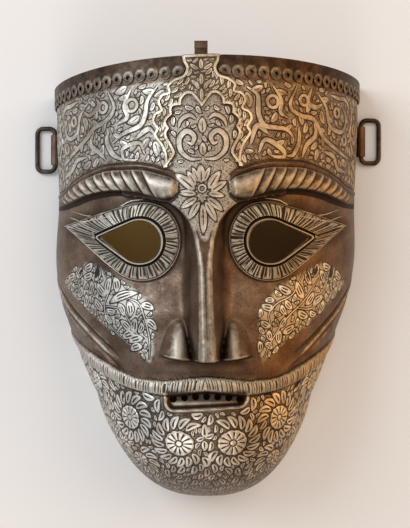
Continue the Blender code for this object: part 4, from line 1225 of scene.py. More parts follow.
def between(packing, spots, headings, length, half, gap, zone, bend=0.35, sizes=(1.0, 0.8, 0.62)):
    """Sets a blade at each spot where one fits inside the zone, as large as fits and
    turned from its heading as little as it can be."""
    size, swing = np.meshgrid(sizes, [0.0, 35.0, -35.0, 80.0, -80.0, 130.0, 180.0], indexing="ij")
    size, swing = size.ravel(), swing.ravel()
    rows = together(spots[:, :1], spots[:, 1:], headings[:, None] + swing, length * size, half * size,
                    np.where(swing < 0.0, -bend, bend))
    where, points, reach = spines(rows)
    allowed = zone(*where).all(axis=-1)
    kept = []
    for k in range(len(spots)):
        for j in np.flatnonzero(allowed[k]):
            if packing.room(points[k, j], reach[k, j]) > gap:
                packing.take(points[k, j], reach[k, j])
                kept.append(rows[k, j])
                break
    return np.array(kept).reshape(-1, 6)


def clear_of(packing, rows, zone, free, taken, share=1.0):
    """The blades that lie inside the zone and, from their spine's point number free
    on, touch nothing; each is taken from its point number taken on."""
    kept = []
    for row in rows:
        where, points, reach = spines(row[None])
        if packing.room(points[0, free:], reach[0, free:]) > 0.1 and zone(*where).all():
            packing.take(points[0, taken:], share * reach[0, taken:])
            kept.append(row)
    return kept


def spot_grid(y_low, y_high, pitch, rng, arc_low, arc_high, sides):
    """Spots in staggered rows over a part of the plate, each a little off its place."""
    spots = []
    for k, y in enumerate(np.arange(y_high, y_low, -0.85 * pitch)):
        width = float(length_of(slopes(np.array(45.0), np.array(y))[0]))
        angle = np.arange(arc_low, arc_high, pitch) / width + (0.5 * pitch / width if k % 2 else 0.0)
        for side in sides:
            spots.append(together(side * angle, y))
    spots = np.concatenate(spots)
    spots = spots[np.abs(spots[:, 0]) < 88.5]
    return spots + rng.uniform(-0.3, 0.3, spots.shape)


def ornament(name, parts, finish):
    """One piece made of many bodies, with the pattern place of each point."""
    mesh = mesh_from(name, *stacked([part[:2] for part in parts]))
    write_field(mesh, "blade", np.concatenate([part[2] for part in parts]))
    piece(name, outward(mesh), finish)


def smooth_path(points, steps):
    """A curve through the points, as one array."""
    points = np.asarray(points, float)
    knots = np.arange(len(points), dtype=float)
    fine = np.linspace(0.0, knots[-1], steps * (len(points) - 1) + 1)
    before = np.clip(fine.astype(int), 0, len(points) - 2)
    part = (fine - before)[:, None]
    tangent = np.gradient(points, axis=0)
    start, end = points[before], points[before + 1]
    start_pull, end_pull = tangent[before], tangent[before + 1]
    return ((2 * part ** 3 - 3 * part ** 2 + 1) * start + (part ** 3 - 2 * part ** 2 + part) * start_pull
            + (3 * part ** 2 - 2 * part ** 3) * end + (part ** 3 - part ** 2) * end_pull)


def arc_path(points, steps, side=1.0):
    """A smooth path on the forehead from points of arc and height."""
    path = smooth_path(points, steps)
    return together(side * at_arc(path[:, 0]), path[:, 1])


def front_path(points, steps=8):
    """A smooth path on the face from points of x and height."""
    path = smooth_path(points, steps)
    return together(angle_at(*path.T), path[:, 1])


def vine(path, spacing, length, half, lean, start, side):
    """Leaf rows on alternate sides of a path of angles and heights, leaning off it
    and shrinking towards its end."""
    scale = steps_of(path)[0]
    step = np.diff(path, axis=0) * 0.5 * (scale[1:] + scale[:-1])
    run = run_along(step)
    places = np.arange(start * spacing, run[-1], spacing)
    angle = np.interp(places, run, path[:, 0])
    y = np.interp(places, run, path[:, 1])
    turn = np.unwrap(np.arctan2(step[:, 1], step[:, 0]))
    heading = np.degrees(np.interp(places, 0.5 * (run[1:] + run[:-1]), turn))
    flip = side * np.where(np.arange(len(places)) % 2 == 0, 1.0, -1.0)
    size = 1.0 - 0.35 * places / run[-1]
    return together(angle, y, heading + flip * lean, length * size, half * size, -0.35 * flip)


def arc_of(angle):
    """The distance on the forehead from its middle line at this angle."""
    return np.radians(np.abs(angle)) * ARC_RADIUS


def plaque_half(y, rows):
    """How far from the middle line the plaque's outline runs at height y."""
    outline = np.array(sorted((row[1], row[0]) for row in rows))
    return np.interp(y, outline[:, 0], outline[:, 1])


# Sweeping strokes on one half of the forehead: arc from the middle line and height
SWEEPS = (
    ((21.5, 96.0), (27.5, 91.0), (28.0, 83.0), (33.0, 77.0), (42.0, 75.5), (48.0, 70.0)),
    ((29.0, 63.5), (33.0, 70.0), (42.0, 66.0), (41.0, 59.8), (35.0, 61.5)),
    ((50.0, 96.0), (46.0, 88.0), (52.0, 82.0), (61.0, 80.5), (70.0, 73.0), (84.0, 66.0), (95.0, 63.0)),
    ((53.0, 61.5), (57.0, 68.0), (64.0, 72.0), (63.0, 79.0)),
    ((66.0, 95.0), (72.0, 88.0), (76.0, 79.0), (86.0, 77.0), (92.0, 84.0), (87.0, 90.5)),
    ((98.0, 95.0), (101.0, 86.0), (98.0, 77.0), (104.0, 68.0), (114.0, 65.0)),
    ((110.0, 93.0), (117.0, 86.0), (116.0, 76.0), (124.0, 70.0), (130.0, 62.0)),
    ((23.5, 68.0), (27.0, 75.0), (34.0, 71.5)),
    ((37.0, 96.5), (41.5, 89.5), (40.0, 82.5), (46.0, 79.5)),
    ((43.0, 62.0), (49.0, 64.0), (52.5, 70.5), (50.5, 76.5)),
    ((61.0, 96.8), (58.0, 91.0), (63.0, 87.0), (69.0, 89.0)),
    ((69.0, 66.0), (77.0, 63.0), (84.0, 58.5), (93.0, 56.5)),
    ((75.0, 95.5), (83.0, 94.0), (90.0, 96.0), (96.0, 90.0)),
    ((101.0, 62.0), (108.0, 60.0), (114.0, 55.5)),
    ((95.0, 71.5), (101.0, 76.0), (108.0, 73.5), (111.5, 80.0)),
    ((118.0, 96.0), (124.0, 90.0), (122.5, 81.0), (130.0, 77.0)),
)
KNOTS = ((36.0, 88.0, 3.0), (55.0, 90.0, 2.6), (80.0, 86.0, 2.4), (106.5, 80.0, 2.6), (90.0, 72.5, 2.4))


def forehead_scrolls(side):
    """Sweeping strokes that swell in their middle, rings, leaves off the strokes, and
    small leaves wherever there is room."""
    rng = np.random.default_rng(31 if side > 0.0 else 47)
    packing, parts = Packing(), []

    def zone(angle, y):
        """Between the brow, the plaque and the rim band."""
        arc = arc_of(angle)
        brow_top = charted(np.abs(angle), BROW)[0]
        outside = (arc > plaque_half(y, PLAQUE_OUTER[3:]) + 1.0) & (arc < 131.5)
        return outside & (angle * side > 0.0) & (y > brow_top + 4.2) & (y < 98.0)

    stems = []
    for sweep in SWEEPS:
        knots = np.array(sweep) + rng.uniform(-1.2, 1.2, (len(sweep), 2))
        path = arc_path(knots, 9, side)
        path = path[zone(*path.T)]
        if len(path) > 8:
            half = rng.uniform(1.15, 1.6)
            parts.append(ribbon(path, half, 0.34))
            packing.take_path(path, half)
            stems.append(path)
    for arc, y, radius in KNOTS:
        ring = circle(arc, y, radius, 26) + rng.uniform(-1.0, 1.0, 2)
        path = together(side * at_arc(ring[:, 0]), ring[:, 1])
        if zone(*path.T).all():
            parts.append(ribbon(path, 0.95, 0.34, closed=True))
            packing.take_path(path, 1.0)
    rows = np.concatenate([vine(path, 5.2, 6.6, 1.75, 48.0, 0.5, side) for path in stems])
    rows = clear_of(packing, rows, zone, 3, 1)
    spots = spot_grid(46.0, 98.0, 2.2, rng, 14.0, 133.0, (side,))
    headings = rng.normal(90.0 - side * 35.0, 50.0, len(spots))
    small = between(packing, spots, headings, 6.4, 1.65, 0.26, zone, sizes=(1.25, 1.0, 0.75, 0.5))
    parts.append(leaves(np.concatenate([rows, small]), 0.22))
    return parts


def cartouche_palmette():
    """A generic palmette in the plaque's arch: a middle bud between two heart-shaped
    scrolls, with small leaves round them."""
    rng = np.random.default_rng(5)
    packing, parts = Packing(), []
    rows = [(0.0, 72.5, 90.0, 8.0, 2.1, 0.0), (0.0, 62.0, 90.0, 6.4, 1.8, 0.0)]
    for side in (-1.0, 1.0):
        scroll = [(1.0, 60.4), (6.4, 60.6), (11.0, 64.6), (11.4, 70.4), (7.8, 73.8), (4.2, 71.4),
                  (5.2, 67.8), (7.4, 68.4)]
        crown = [(12.0, 75.6), (10.4, 79.4), (6.2, 81.4), (3.0, 79.4)]
        for points, half in ((scroll, 1.5), (crown, 1.2)):
            path = arc_path([(side * a, y) for a, y in points], 6)
            parts.append(ribbon(path, half, 0.6))
            packing.take_path(path, half)
    packing.take_leaves(rows)

    def zone(angle, y):
        """Inside the plaque's arch."""
        arc = arc_of(angle)
        return (arc < plaque_half(y, PLAQUE_INNER[:9]) - 0.6) & (y > 58.5) & (y < 85.6)

    spots = spot_grid(58.0, 86.0, 2.8, rng, 0.0, 18.0, (-1.0, 1.0))
    small = between(packing, spots, rng.uniform(0.0, 360.0, len(spots)), 4.6, 1.25, 0.4, zone)
    parts.append(leaves(np.concatenate([rows, small]), 0.45))
    return parts


FLOWER_X = -0.8
FLOWER_Y = 43.8


def bridge_flower():
    """The flower between the brows: bud and broad leaves above a curl, and a fan of
    seven pointed leaves below it, with small sprigs at the sides."""
    blades = ((-0.3, 4.8, -0.5, 14.0, 2.3), (-1.4, 5.4, -4.6, 12.8, 1.4), (0.9, 5.4, 4.2, 12.8, 1.4),
              (-3.2, 1.6, -12.8, 9.8, 2.5), (-2.8, 3.6, -7.0, 11.0, 1.6), (3.0, 1.9, 9.0, 10.8, 2.2),
              (4.0, 0.6, 12.0, 5.8, 1.9), (-2.6, -0.2, -11.6, 0.6, 1.7), (-2.2, -2.0, -10.4, -7.0, 1.9),
              (-1.2, -3.6, -6.4, -12.6, 1.9), (0.1, -4.6, 0.2, -19.4, 1.9), (1.3, -3.6, 6.4, -13.4, 1.9),
              (2.2, -2.0, 9.8, -8.4, 1.9), (2.8, -0.1, 10.8, -1.2, 1.6))
    rows = []
    for right, up, tip_right, tip_up, half in blades:
        length = math.hypot(tip_right - right, tip_up - up)
        heading = math.degrees(math.atan2(tip_up - up, tip_right - right))
        y = FLOWER_Y + up
        bend = 0.08 * math.copysign(1.0, right)
        rows.append((float(angle_at(FLOWER_X + right, y)), y, heading, length, half, bend))
    parts = [leaves(rows, 0.5)]
    ring = circle(-0.7, 46.2, 1.7, 24)
    path = together(angle_at(*ring.T), ring[:, 1])
    return parts + [ribbon(path, 0.5, 0.5, closed=True)]


# The large leaves of each cheek, charted: base x and y, tip x and y
CHEEK_LEAVES = {
    "left": ((-47.8, -9.5, -34.2, -4.3), (-32.2, -10.1, -25.3, -12.0), (-43.5, -9.4, -40.0, -15.7),
             (-50.6, -15.6, -46.4, -19.9), (-37.1, -23.5, -42.1, -17.8), (-35.1, -24.5, -34.4, -16.6),
             (-29.9, -17.0, -24.0, -22.2), (-34.6, -24.4, -41.3, -26.7), (-30.6, -26.3, -38.2, -28.5),
             (-31.1, -30.2, -37.3, -32.4), (-49.9, -6.5, -55.2, 0.4), (-49.3, -6.0, -48.0, 3.5),
             (-51.1, -13.6, -56.0, -7.2)),
    "right": ((34.1, -11.6, 27.6, -10.1), (34.7, -8.2, 29.6, -8.1), (43.5, -4.4, 37.3, -0.9),
              (49.8, -7.5, 46.3, 1.5), (50.3, -10.6, 55.4, -4.2), (39.8, -7.8, 43.3, -12.3),
              (45.9, -13.4, 51.8, -16.6), (36.4, -21.5, 39.6, -16.2), (31.9, -20.9, 26.9, -17.9),
              (30.8, -22.4, 32.2, -27.8), (36.4, -22.5, 36.3, -29.4), (37.9, -24.1, 44.2, -20.3),
              (28.7, -28.7, 32.7, -31.8), (54.2, -11.2, 60.6, -6.4)),
}
CHEEK_STEMS = {
    "left": (((-28.0, -37.0), (-27.5, -28.0), (-29.5, -18.0), (-33.0, -9.5), (-40.0, -6.5)),
             ((-40.0, -28.0), (-48.0, -20.0), (-50.5, -11.0), (-48.5, -2.0), (-52.0, 7.0)),
             ((-50.5, -11.0), (-42.0, -12.5), (-36.5, -20.0), (-31.0, -29.0))),
    "right": (((28.0, -36.0), (34.0, -25.0), (41.0, -16.0), (50.0, -8.0), (59.0, 3.0)),
              ((33.0, -24.0), (31.0, -15.0), (35.5, -9.5), (44.0, -5.0), (50.0, 5.0)),
              ((46.0, -12.0), (54.0, -12.0), (62.0, -3.0))),
}


def cheek_vine(label):
    """Leafy branches on the polished field of one cheek: broad leaves in dark outline
    on their stems, and smaller ones between them."""
    side = SIDES[label]
    rng = np.random.default_rng(12 if side > 0.0 else 13)
    chart = np.array(CHEEK_LEAVES[label])
    start, end = angle_at(chart[:, 0], chart[:, 1]), angle_at(chart[:, 2], chart[:, 3])
    across, along = slopes(0.5 * (start + end), 0.5 * (chart[:, 1] + chart[:, 3]))
    right = (end - start) * length_of(across)
    up = (chart[:, 3] - chart[:, 1]) * length_of(along)
    length = np.hypot(right, up)
    bend = rng.choice([-0.3, 0.3], len(chart))
    half = np.minimum(0.2 * length + 0.4, 2.0)
    large = together(start, chart[:, 1], np.degrees(np.arctan2(up, right)), length, half, bend)
    packing, parts = Packing(), []
    packing.take_leaves(large)
    for stem in CHEEK_STEMS[label]:
        path = front_path(stem)
        parts.append(ribbon(path, 0.35, 0.1))
        packing.take_path(path, 0.4)

    def zone(angle, y):
        """Inside the polished field."""
        return (cheek_field(x_at(angle, y), y) > 0.35) & (angle * side > 0.0)

    spots = spot_grid(-39.0, 12.0, 2.0, rng, 22.0, 110.0, (side,))
    headings = 90.0 - side * rng.uniform(-30.0, 80.0, len(spots))
    small = between(packing, spots, headings, 6.2, 1.55, 0.4, zone, 0.5, (1.3, 1.0, 0.75, 0.5))
    parts.append(leaves(np.concatenate([large, small]), 0.08, cut=0.56))
    return parts


# The chin's flowers: x, height and radius
ROSETTES = ((-13.7, -77.8, 7.2), (13.0, -77.4, 7.2), (-37.8, -66.1, 6.0), (36.1, -65.9, 6.0),
            (-55.5, -49.6, 5.0), (55.0, -50.0, 5.0), (-33.0, -88.0, 4.6), (33.5, -87.0, 4.6),
            (-58.0, -70.0, 4.4), (57.0, -71.0, 4.4))


def on_chin(angle, y):
    """Where leaves may lie on the chin."""
    clear = in_mouth(x_at(angle, y), y) < -2.9
    return below_hair(angle, y) & clear & (y > -113.6)


def chin_ornament():
    """Rosettes ringed by comma leaves, a palmette between the middle ones, and leaves
    that swirl round the nearest rosette over the rest of the chin."""
    rng = np.random.default_rng(8)
    packing, flowers, rows, centres, turning = Packing(), [], [], [], []
    for x, y, radius in ROSETTES:
        angle = float(angle_at(x, y))
        flowers.append(rosette(angle, y, radius, 12 if radius > 4.8 else 8, 0.3))
        centre = base_surface(np.array([angle]), np.array([y]))
        packing.take(centre, radius + 0.2)
        centres.append(centre[0])
        swirl = math.copysign(1.0, x)
        turning.append(swirl)
        count = int(2.0 * math.pi * (radius + 2.8) / 3.6)
        turn = np.arange(count) * 360.0 / count
        right, up = (radius + 0.7) * heading_of(np.radians(turn)).T
        where_angle, where_y = spread(angle + 0.0 * turn, y + 0.0 * turn, right, up)
        rows.append(together(where_angle, where_y, turn + swirl * 38.0, 7.8, 1.85, -0.6 * swirl))
    fan = [(-0.5, -74.5, 90.0, 7.4, 1.7, 0.0), (-0.5, -76.0, 270.0, 6.0, 1.5, 0.0)]
    for lean in (34.0, 68.0, 104.0):
        fan += [(-0.5, -74.5, 90.0 + lean, 5.2, 1.5, 0.3), (-0.5, -74.5, 90.0 - lean, 5.2, 1.5, -0.3)]
    ringed = clear_of(packing, np.concatenate([fan] + rows), on_chin, 2, 0, 0.9)
    spots = spot_grid(-114.0, -34.0, 1.6, rng, 0.0, 150.0, (-1.0, 1.0))
    places = base_surface(*spots.T)
    nearest = length_of(places[:, None] - np.array(centres)[None]).argmin(axis=1)
    gap = places - np.array(centres)[nearest]
    away = np.degrees(np.arctan2(gap[:, 1], gap[:, 0]))
    headings = away + 50.0 * np.array(turning)[nearest]
    small = between(packing, spots, headings, 7.4, 1.8, 0.12, on_chin, 0.6, (1.0, 0.8, 0.6, 0.42))
    rows = np.concatenate([ringed, small])
    return flowers, {label: [leaves(rows[rows[:, 0] * side >= 0.0], 0.16)] for label, side in SIDES.items()}


# Two fine lines over each eye: points of x and height from over the lid to the side
LID_LINES = (((32.0, 41.6), (38.5, 40.8), (44.5, 37.6), (53.0, 34.8), (61.0, 34.6), (70.0, 37.6)),
             ((46.0, 33.6), (55.0, 32.2), (63.0, 31.6), (71.5, 34.4)))


def lid_lines(side):
    """Fine raised lines that run from over the lid to the side of the face."""
    paths = [front_path([(side * x, y) for x, y in line], 14) for line in LID_LINES]
    return [ribbon(path, 0.32, 0.3, cut=0.2) for path in paths]


# Applied pieces

def reach_of(centre, outline, turns):
    """How far an outline lies from a centre in each direction."""
    outline = np.asarray(outline, float) - centre
    after = np.roll(outline, -1, axis=0)
    heading = heading_of(turns)[:, None]
    edge = (after - outline)[None]
    start = outline[None]
    cross = heading[..., 0] * edge[..., 1] - heading[..., 1] * edge[..., 0]
    cross = np.where(np.abs(cross) < 1e-9, 1e-9, cross)
    far = (start[..., 0] * edge[..., 1] - start[..., 1] * edge[..., 0]) / cross
    along = (start[..., 0] * heading[..., 1] - start[..., 1] * heading[..., 0]) / cross
    good = (far > 0.0) & (along > -1e-6) & (along < 1.0 + 1e-6)
    return np.where(good, far, np.inf).min(axis=1)


def lobe_arc(k):
    """How far from the middle line the lobe number k stands, along the forehead."""
    return math.radians(LOBE_FIRST_ANGLE + k * LOBE_PITCH_ANGLE) * ARC_RADIUS


def band_cell(k):
    """The outline of the strip round one hole: half-round below, square above."""
    half = 0.5 * (lobe_arc(1) - lobe_arc(0))
    shoulder = BAND_HOLE_Y + 0.3
    if k == 0:
        end = lobe_arc(0) + half
        return [(end, RIM_Y)] + BAND_END + [(end, shoulder)]
    start = lobe_arc(k) - half
    end = lobe_arc(k) + (LOBE_RADIUS if k == LOBES - 1 else half)
    turns = np.linspace(math.pi, 2.0 * math.pi, 15)
    low = (lobe_arc(k), BAND_HOLE_Y) + LOBE_RADIUS * heading_of(turns)
    return [(end, RIM_Y), (start, RIM_Y), (start, shoulder)] + low.tolist() + [(end, shoulder)]


def rim_band(label, finish):
    """The scalloped strip: each cell is a ring of points from its hole out to its
    outline, with a raised ring round the hole and a rounded edge."""
    side = SIDES[label]
    corner = math.degrees(math.atan2(RIM_Y - BAND_HOLE_Y, 0.5 * (lobe_arc(1) - lobe_arc(0))))
    upper = [0.0, 6.0, 14.0, 26.0, 40.0, 54.0, corner, 79.0, 90.0]
    degrees = upper + [180.0 - turn for turn in upper[-2::-1]] + list(np.linspace(190.0, 350.0, 15))
    turns = np.radians(degrees)
    near = np.array([0.0, 0.1, 0.22, 0.36, 0.5, 0.7, 0.88, 1.0])[:, None]
    index = numbers(len(near), len(turns))
    after = np.roll(index, -1, axis=1)
    faces = quads(index[:-1], index[1:], after[1:], after[:-1])
    faces = faces if side > 0.0 else faces[:, ::-1]
    top = FIT_GAP + BAND_THICKNESS - 0.1
    cells, rubbed = [], []
    for k in range(LOBES):
        centre = np.array([lobe_arc(k), BAND_HOLE_Y])
        edge = reach_of(centre, band_cell(k), turns)
        reach = LOBE_HOLE_RADIUS + near * (edge - LOBE_HOLE_RADIUS)
        out = top + 0.22 * bump(reach - 1.5, 0.35) - 0.3 * ramp(0.6, 0.0, edge - reach)
        out = np.where((near > 0.99) & (np.sin(turns) > 0.05), top, out)
        place = centre + reach[..., None] * heading_of(turns)
        cells.append((on_plain(side * at_arc(place[..., 0]), place[..., 1], out).reshape(-1, 3), faces))
        rubbed.append((bump(reach - LOBE_RADIUS + 0.25, 0.4) + 0.5 * bump(reach - 1.5, 0.3)).ravel())
    mesh = mesh_from("band_" + label, *stacked(cells))
    write_field(mesh, "rubbed", np.concatenate(rubbed))
    solid = made_solid("band_" + label, merged(mesh, 0.02), BAND_THICKNESS * 0.85)
    return piece("scalloped_band_" + label, solid, finish,
                 stands_for=("rim_band_" + label,))


def rounded(rows, steps):
    """Rounds an outline between its corners with a curve through the points."""
    points = [np.array(row[:2]) for row in rows]
    corner = [bool(row[2]) for row in rows]
    last = len(points) - 1
    outline = []
    for k in range(last):
        start, end = points[k], points[k + 1]
        before = start if corner[k] else points[max(k - 1, 0)]
        after = end if corner[k + 1] else points[min(k + 2, last)]
        for part in np.arange(steps) / steps:
            outline.append(0.5 * (2.0 * start + (end - before) * part
                                  + (2.0 * before - 5.0 * start + 4.0 * end - after) * part ** 2
                                  + (3.0 * start - before - 3.0 * end + after) * part ** 3))
    outline.append(points[last])
    return outline


def plaque_outline():
    """The whole outline of the plaque, from its half, once round."""
    half = rounded(PLAQUE_OUTER + PLAQUE_INNER, 5)
    return np.array(half + [(-x, y) for x, y in half[::-1] if x > 0.01])


def forehead_plaque(finish):
    """The cusped frame: its flat outline is cut into small faces and bent round the forehead; the
    bead along its edge is made by plaque_relief."""
    outline = plaque_outline()
    shape = bmesh.new()
    corners = [shape.verts.new((x, y, 0.0)) for x, y in outline]
    face = shape.faces.new(corners)
    face.normal_update()
    if face.normal.z < 0.0:
        face.normal_flip()
    bmesh.ops.triangulate(shape, faces=shape.faces[:])
    for way, end in ((Vector((1.0, 0.0, 0.0)), 27.0), (Vector((0.0, 1.0, 0.0)), 112.0)):
        for level in np.arange(-26.0, end, 2.0):
            geometry = shape.verts[:] + shape.edges[:] + shape.faces[:]
            bmesh.ops.bisect_plane(shape, geom=geometry, dist=0.001, plane_co=way * (level + 0.3),
                                   plane_no=way)
    bmesh.ops.recalc_face_normals(shape, faces=shape.faces)
    mesh = written(shape, bpy.data.meshes.new("plaque"))
    flat = points_of(mesh)
    top = FIT_GAP + PLAQUE_THICKNESS
    bent = on_plain(at_arc(flat[:, 0]), flat[:, 1], np.full(len(flat), top)) * MM
    mesh.vertices.foreach_set("co", bent.ravel())
    mesh.update()
    if sum(face.normal.z for face in mesh.polygons) < 0.0:
        mesh.flip_normals()
    solid = made_solid("plaque", mesh, PLAQUE_THICKNESS)
    return piece("cusped_plaque", solid, finish, stands_for=("forehead_plaque",))


def plaque_relief():
    """The bead along the plaque's edge and the leaves engraved inside it."""
    outline = plaque_outline()
    after, before = np.roll(outline, -1, axis=0), np.roll(outline, 1, axis=0)
    along = unit(after - before)
    inward = together(along[:, 1], -along[:, 0])
    path = outline + 0.8 * inward
    top = FIT_GAP + PLAQUE_THICKNESS
    edge = together(at_arc(path[:, 0]), path[:, 1])
    parts = [ribbon(edge, 0.74, 0.6, on_plain, top, closed=True, cut=0.14)]
    rows = [(0.0, 87.6, 90.0, 6.6, 0.9, 0.0), (0.0, 95.5, 90.0, 5.6, 1.0, 0.0),
            (0.0, 103.0, 90.0, 5.2, 1.0, 0.0)]
    beside = ((1.0, 95.0, 40.0, 5.0), (1.2, 103.0, 35.0, 5.0), (1.2, 93.5, 68.0, 4.0))
    for side in (-1.0, 1.0):
        for arc, y, heading, length in beside:
            rows.append((side * at_arc(arc), y, 90.0 - side * (90.0 - heading), length, 0.9, side * -0.2))
    packing = Packing()
    packing.take_leaves(rows)
    point_y = PLAQUE_INNER[-1][1]
    arch_arc, arch_y = PLAQUE_INNER[-2][:2]

    def zone(angle, y):
        """On the plaque, clear of its bead."""
        arc = arc_of(angle)
        outer = plaque_half(y, PLAQUE_OUTER) - 1.7
        inner = plaque_half(y, PLAQUE_INNER[:11]) + 1.6
        pendant = arc < (y - point_y - 2.0) * arch_arc / (arch_y - point_y) - 0.8
        return (arc < outer) & ((arc > inner) | (y > arch_y + 1.8) | pendant) & (y > 57.5) & (y < 108.5)

    rng = np.random.default_rng(21)
    spots = spot_grid(57.0, 109.0, 1.6, rng, 0.0, 26.0, (-1.0, 1.0))
    headings = 90.0 + rng.uniform(-50.0, 50.0, len(spots))
    small = between(packing, spots, headings, 3.8, 0.75, 0.22, zone, 0.4, (1.2, 1.0, 0.75, 0.55))
    parts.append(leaves(np.concatenate([rows, small]), 0.2, on_plain, top, 0.26))
    return parts


def strap_loop(label, finish):
    """The bent wire: a round section carried along a rounded rectangle, a little
    uneven as forged wire is."""
    side = SIDES[label]
    half = LOOP_LENGTH / 2.0
    inset = LOOP_CORNER
    path = []
    corners = ((inset, half - inset, 180.0), (LOOP_REACH - inset, half - inset, 90.0),
               (LOOP_REACH - inset, inset - half, 0.0), (inset, inset - half, -90.0))
    for x, y, start in corners:
        path.append((x, y) + inset * heading_of(np.radians(np.linspace(start, start - 90.0, 9))))
    corners = np.concatenate(path)
    flat = []
    for start, end in zip(corners, np.roll(corners, -1, axis=0)):
        steps = max(1, int(length_of(end - start) / 1.2))
        flat.append(start + (end - start) * (np.arange(steps) / steps)[:, None])
    flat = np.concatenate(flat)
    count = len(flat)
    run = np.arange(count) / count * 2.0 * np.pi
    drop = math.asin((HINGE_Z - WIRE_RADIUS) / LOOP_REACH)
    spine = together(side * flat[:, 0] * math.cos(drop), flat[:, 1], -flat[:, 0] * math.sin(drop))
    along = unit(np.roll(spine, -1, axis=0) - np.roll(spine, 1, axis=0))
    flat_normal = np.array([side * math.sin(drop), 0.0, math.cos(drop)])
    out = np.cross(along, flat_normal)
    radius = WIRE_RADIUS * (0.97 + 0.03 * np.cos(3.0 * run + side) * np.cos(5.0 * run))
    turn = np.linspace(0.0, 2.0 * np.pi, WIRE_SIDES, endpoint=False)[None, :, None]
    ring = out[:, None] * np.cos(turn) + flat_normal * np.sin(turn)
    place = np.array([side * HINGE_X, HINGE_HEIGHTS[label], HINGE_Z])
    points = place + spine[:, None] + ring * radius[:, None, None]
    index = numbers(count, WIRE_SIDES)
    ahead, beside = np.roll(index, -1, axis=0), np.roll(index, -1, axis=1)
    faces = quads(index, ahead, np.roll(ahead, -1, axis=1), beside)
    mesh = outward(mesh_from("loop_" + label, points, faces.tolist()))
    return piece("wire_loop_" + label, mesh, finish, body="loop_" + label,
                 stands_for=("strap_loop_" + label,))


# Finishes

BROWN_DARK = (0.035, 0.022, 0.015, 1.0)
BROWN = (0.115, 0.075, 0.052, 1.0)
BROWN_LIGHT = (0.21, 0.15, 0.11, 1.0)
SILVER = (0.44, 0.40, 0.34, 1.0)
SILVER_BRIGHT = (0.72, 0.69, 0.62, 1.0)
GOLDEN = (0.3, 0.185, 0.05, 1.0)
# Golden tints of painted warm light on the right side
PAINTED_WARM_TINT = (0.88, 0.66, 0.42, 1.0)
PALE_PAINTED_WARM_TINT = (0.96, 0.82, 0.62, 1.0)
CUT_DARK = (0.02, 0.013, 0.009, 1.0)

# Between which x the golden tint of painted warm light sets in, and between which y the chin turns brown
PAINTED_WARM_X = (-35.0 * MM, 45.0 * MM)
CHIN_BROWNED = (-78.0 * MM, -106.0 * MM)


class Nodes:
    """Short ways to add and join the nodes of a material or of the surroundings."""

    def __init__(self, owner, place="Object"):
        self.owner = owner
        owner.use_nodes = True
        self.tree = owner.node_tree
        self.place = self.add("ShaderNodeTexCoord").outputs[place]

    def add(self, kind, inputs=(), **settings):
        """A node with its settings and with its inputs joined or set."""
        node = self.tree.nodes.new(kind)
        for key, value in settings.items():
            setattr(node, key, value)
        for key, value in dict(inputs).items():
            self.put(node.inputs[key], value)
        return node

    def put(self, socket, value):
        """Joins a socket to another, or sets it."""
        if hasattr(value, "is_output"):
            self.tree.links.new(value, socket)
        else:
            socket.default_value = value

    def math(self, operation, first, second=0.0, clamp=False):
        """One number worked out from two."""
        inputs = {0: first, 1: second}
        return self.add("ShaderNodeMath", inputs, operation=operation, use_clamp=clamp).outputs[0]

    def steps(self, value, low, high, start=0.0, end=1.0):
        """A number carried smoothly from one range to another."""
        inputs = {"Value": value, "From Min": low, "From Max": high, "To Min": start, "To Max": end}
        return self.add("ShaderNodeMapRange", inputs, interpolation_type="SMOOTHSTEP").outputs["Result"]

    def noise(self, scale, detail=4.0, roughness=0.6):
        """Cloudy noise on the object's own coordinates."""
        inputs = {"Vector": self.place, "Scale": scale, "Detail": detail, "Roughness": roughness}
        return self.add("ShaderNodeTexNoise", inputs).outputs["Fac"]

    def grain(self, share, *noise):
        """A share of noise."""
        return self.math("MULTIPLY", self.noise(*noise), share)

    def mix(self, factor, first, second, blend="MIX"):
        """A colour between two."""
        inputs = {0: factor, 6: first, 7: second}
        return self.add("ShaderNodeMix", inputs, data_type="RGBA", blend_type=blend).outputs[2]

    def field(self, name):
        """A number stored on the mesh."""
        return self.add("ShaderNodeAttribute", attribute_name=name).outputs["Fac"]

    def parts(self, vector):
        """The three numbers of a vector."""
        return self.add("ShaderNodeSeparateXYZ", {0: vector}).outputs

    def golden(self, colour, tint=PAINTED_WARM_TINT):
        """The colour tinted golden towards the right side: painted warm light from the right."""
        share = self.steps(self.parts(self.place)[0], *PAINTED_WARM_X)
        return self.mix(share, colour, tint, "MULTIPLY")

    def surface(self, colour, metal, roughness, height, strength, distance):
        """Joins the results to the shader; height is bump in units of distance."""
        inputs = {"Strength": strength, "Distance": distance * MM, "Height": height}
        bumps = self.add("ShaderNodeBump", inputs)
        shader = self.tree.nodes["Principled BSDF"]
        for key, value in (("Base Color", colour), ("Metallic", metal), ("Roughness", roughness),
                           ("Normal", bumps.outputs[0])):
            self.put(shader.inputs[key], value)
        return self.owner


def patina(n):
    """Brown patina in clouds, with fine dark specks."""
    clouds = n.steps(n.noise(70.0, 5.0, 0.6), 0.35, 0.68)
    specks = n.steps(n.noise(1100.0, 2.0, 0.5), 0.52, 0.72)
    colour = n.mix(clouds, BROWN, BROWN_LIGHT)
    return n.mix(n.math("MULTIPLY", specks, 0.55), colour, BROWN_DARK)


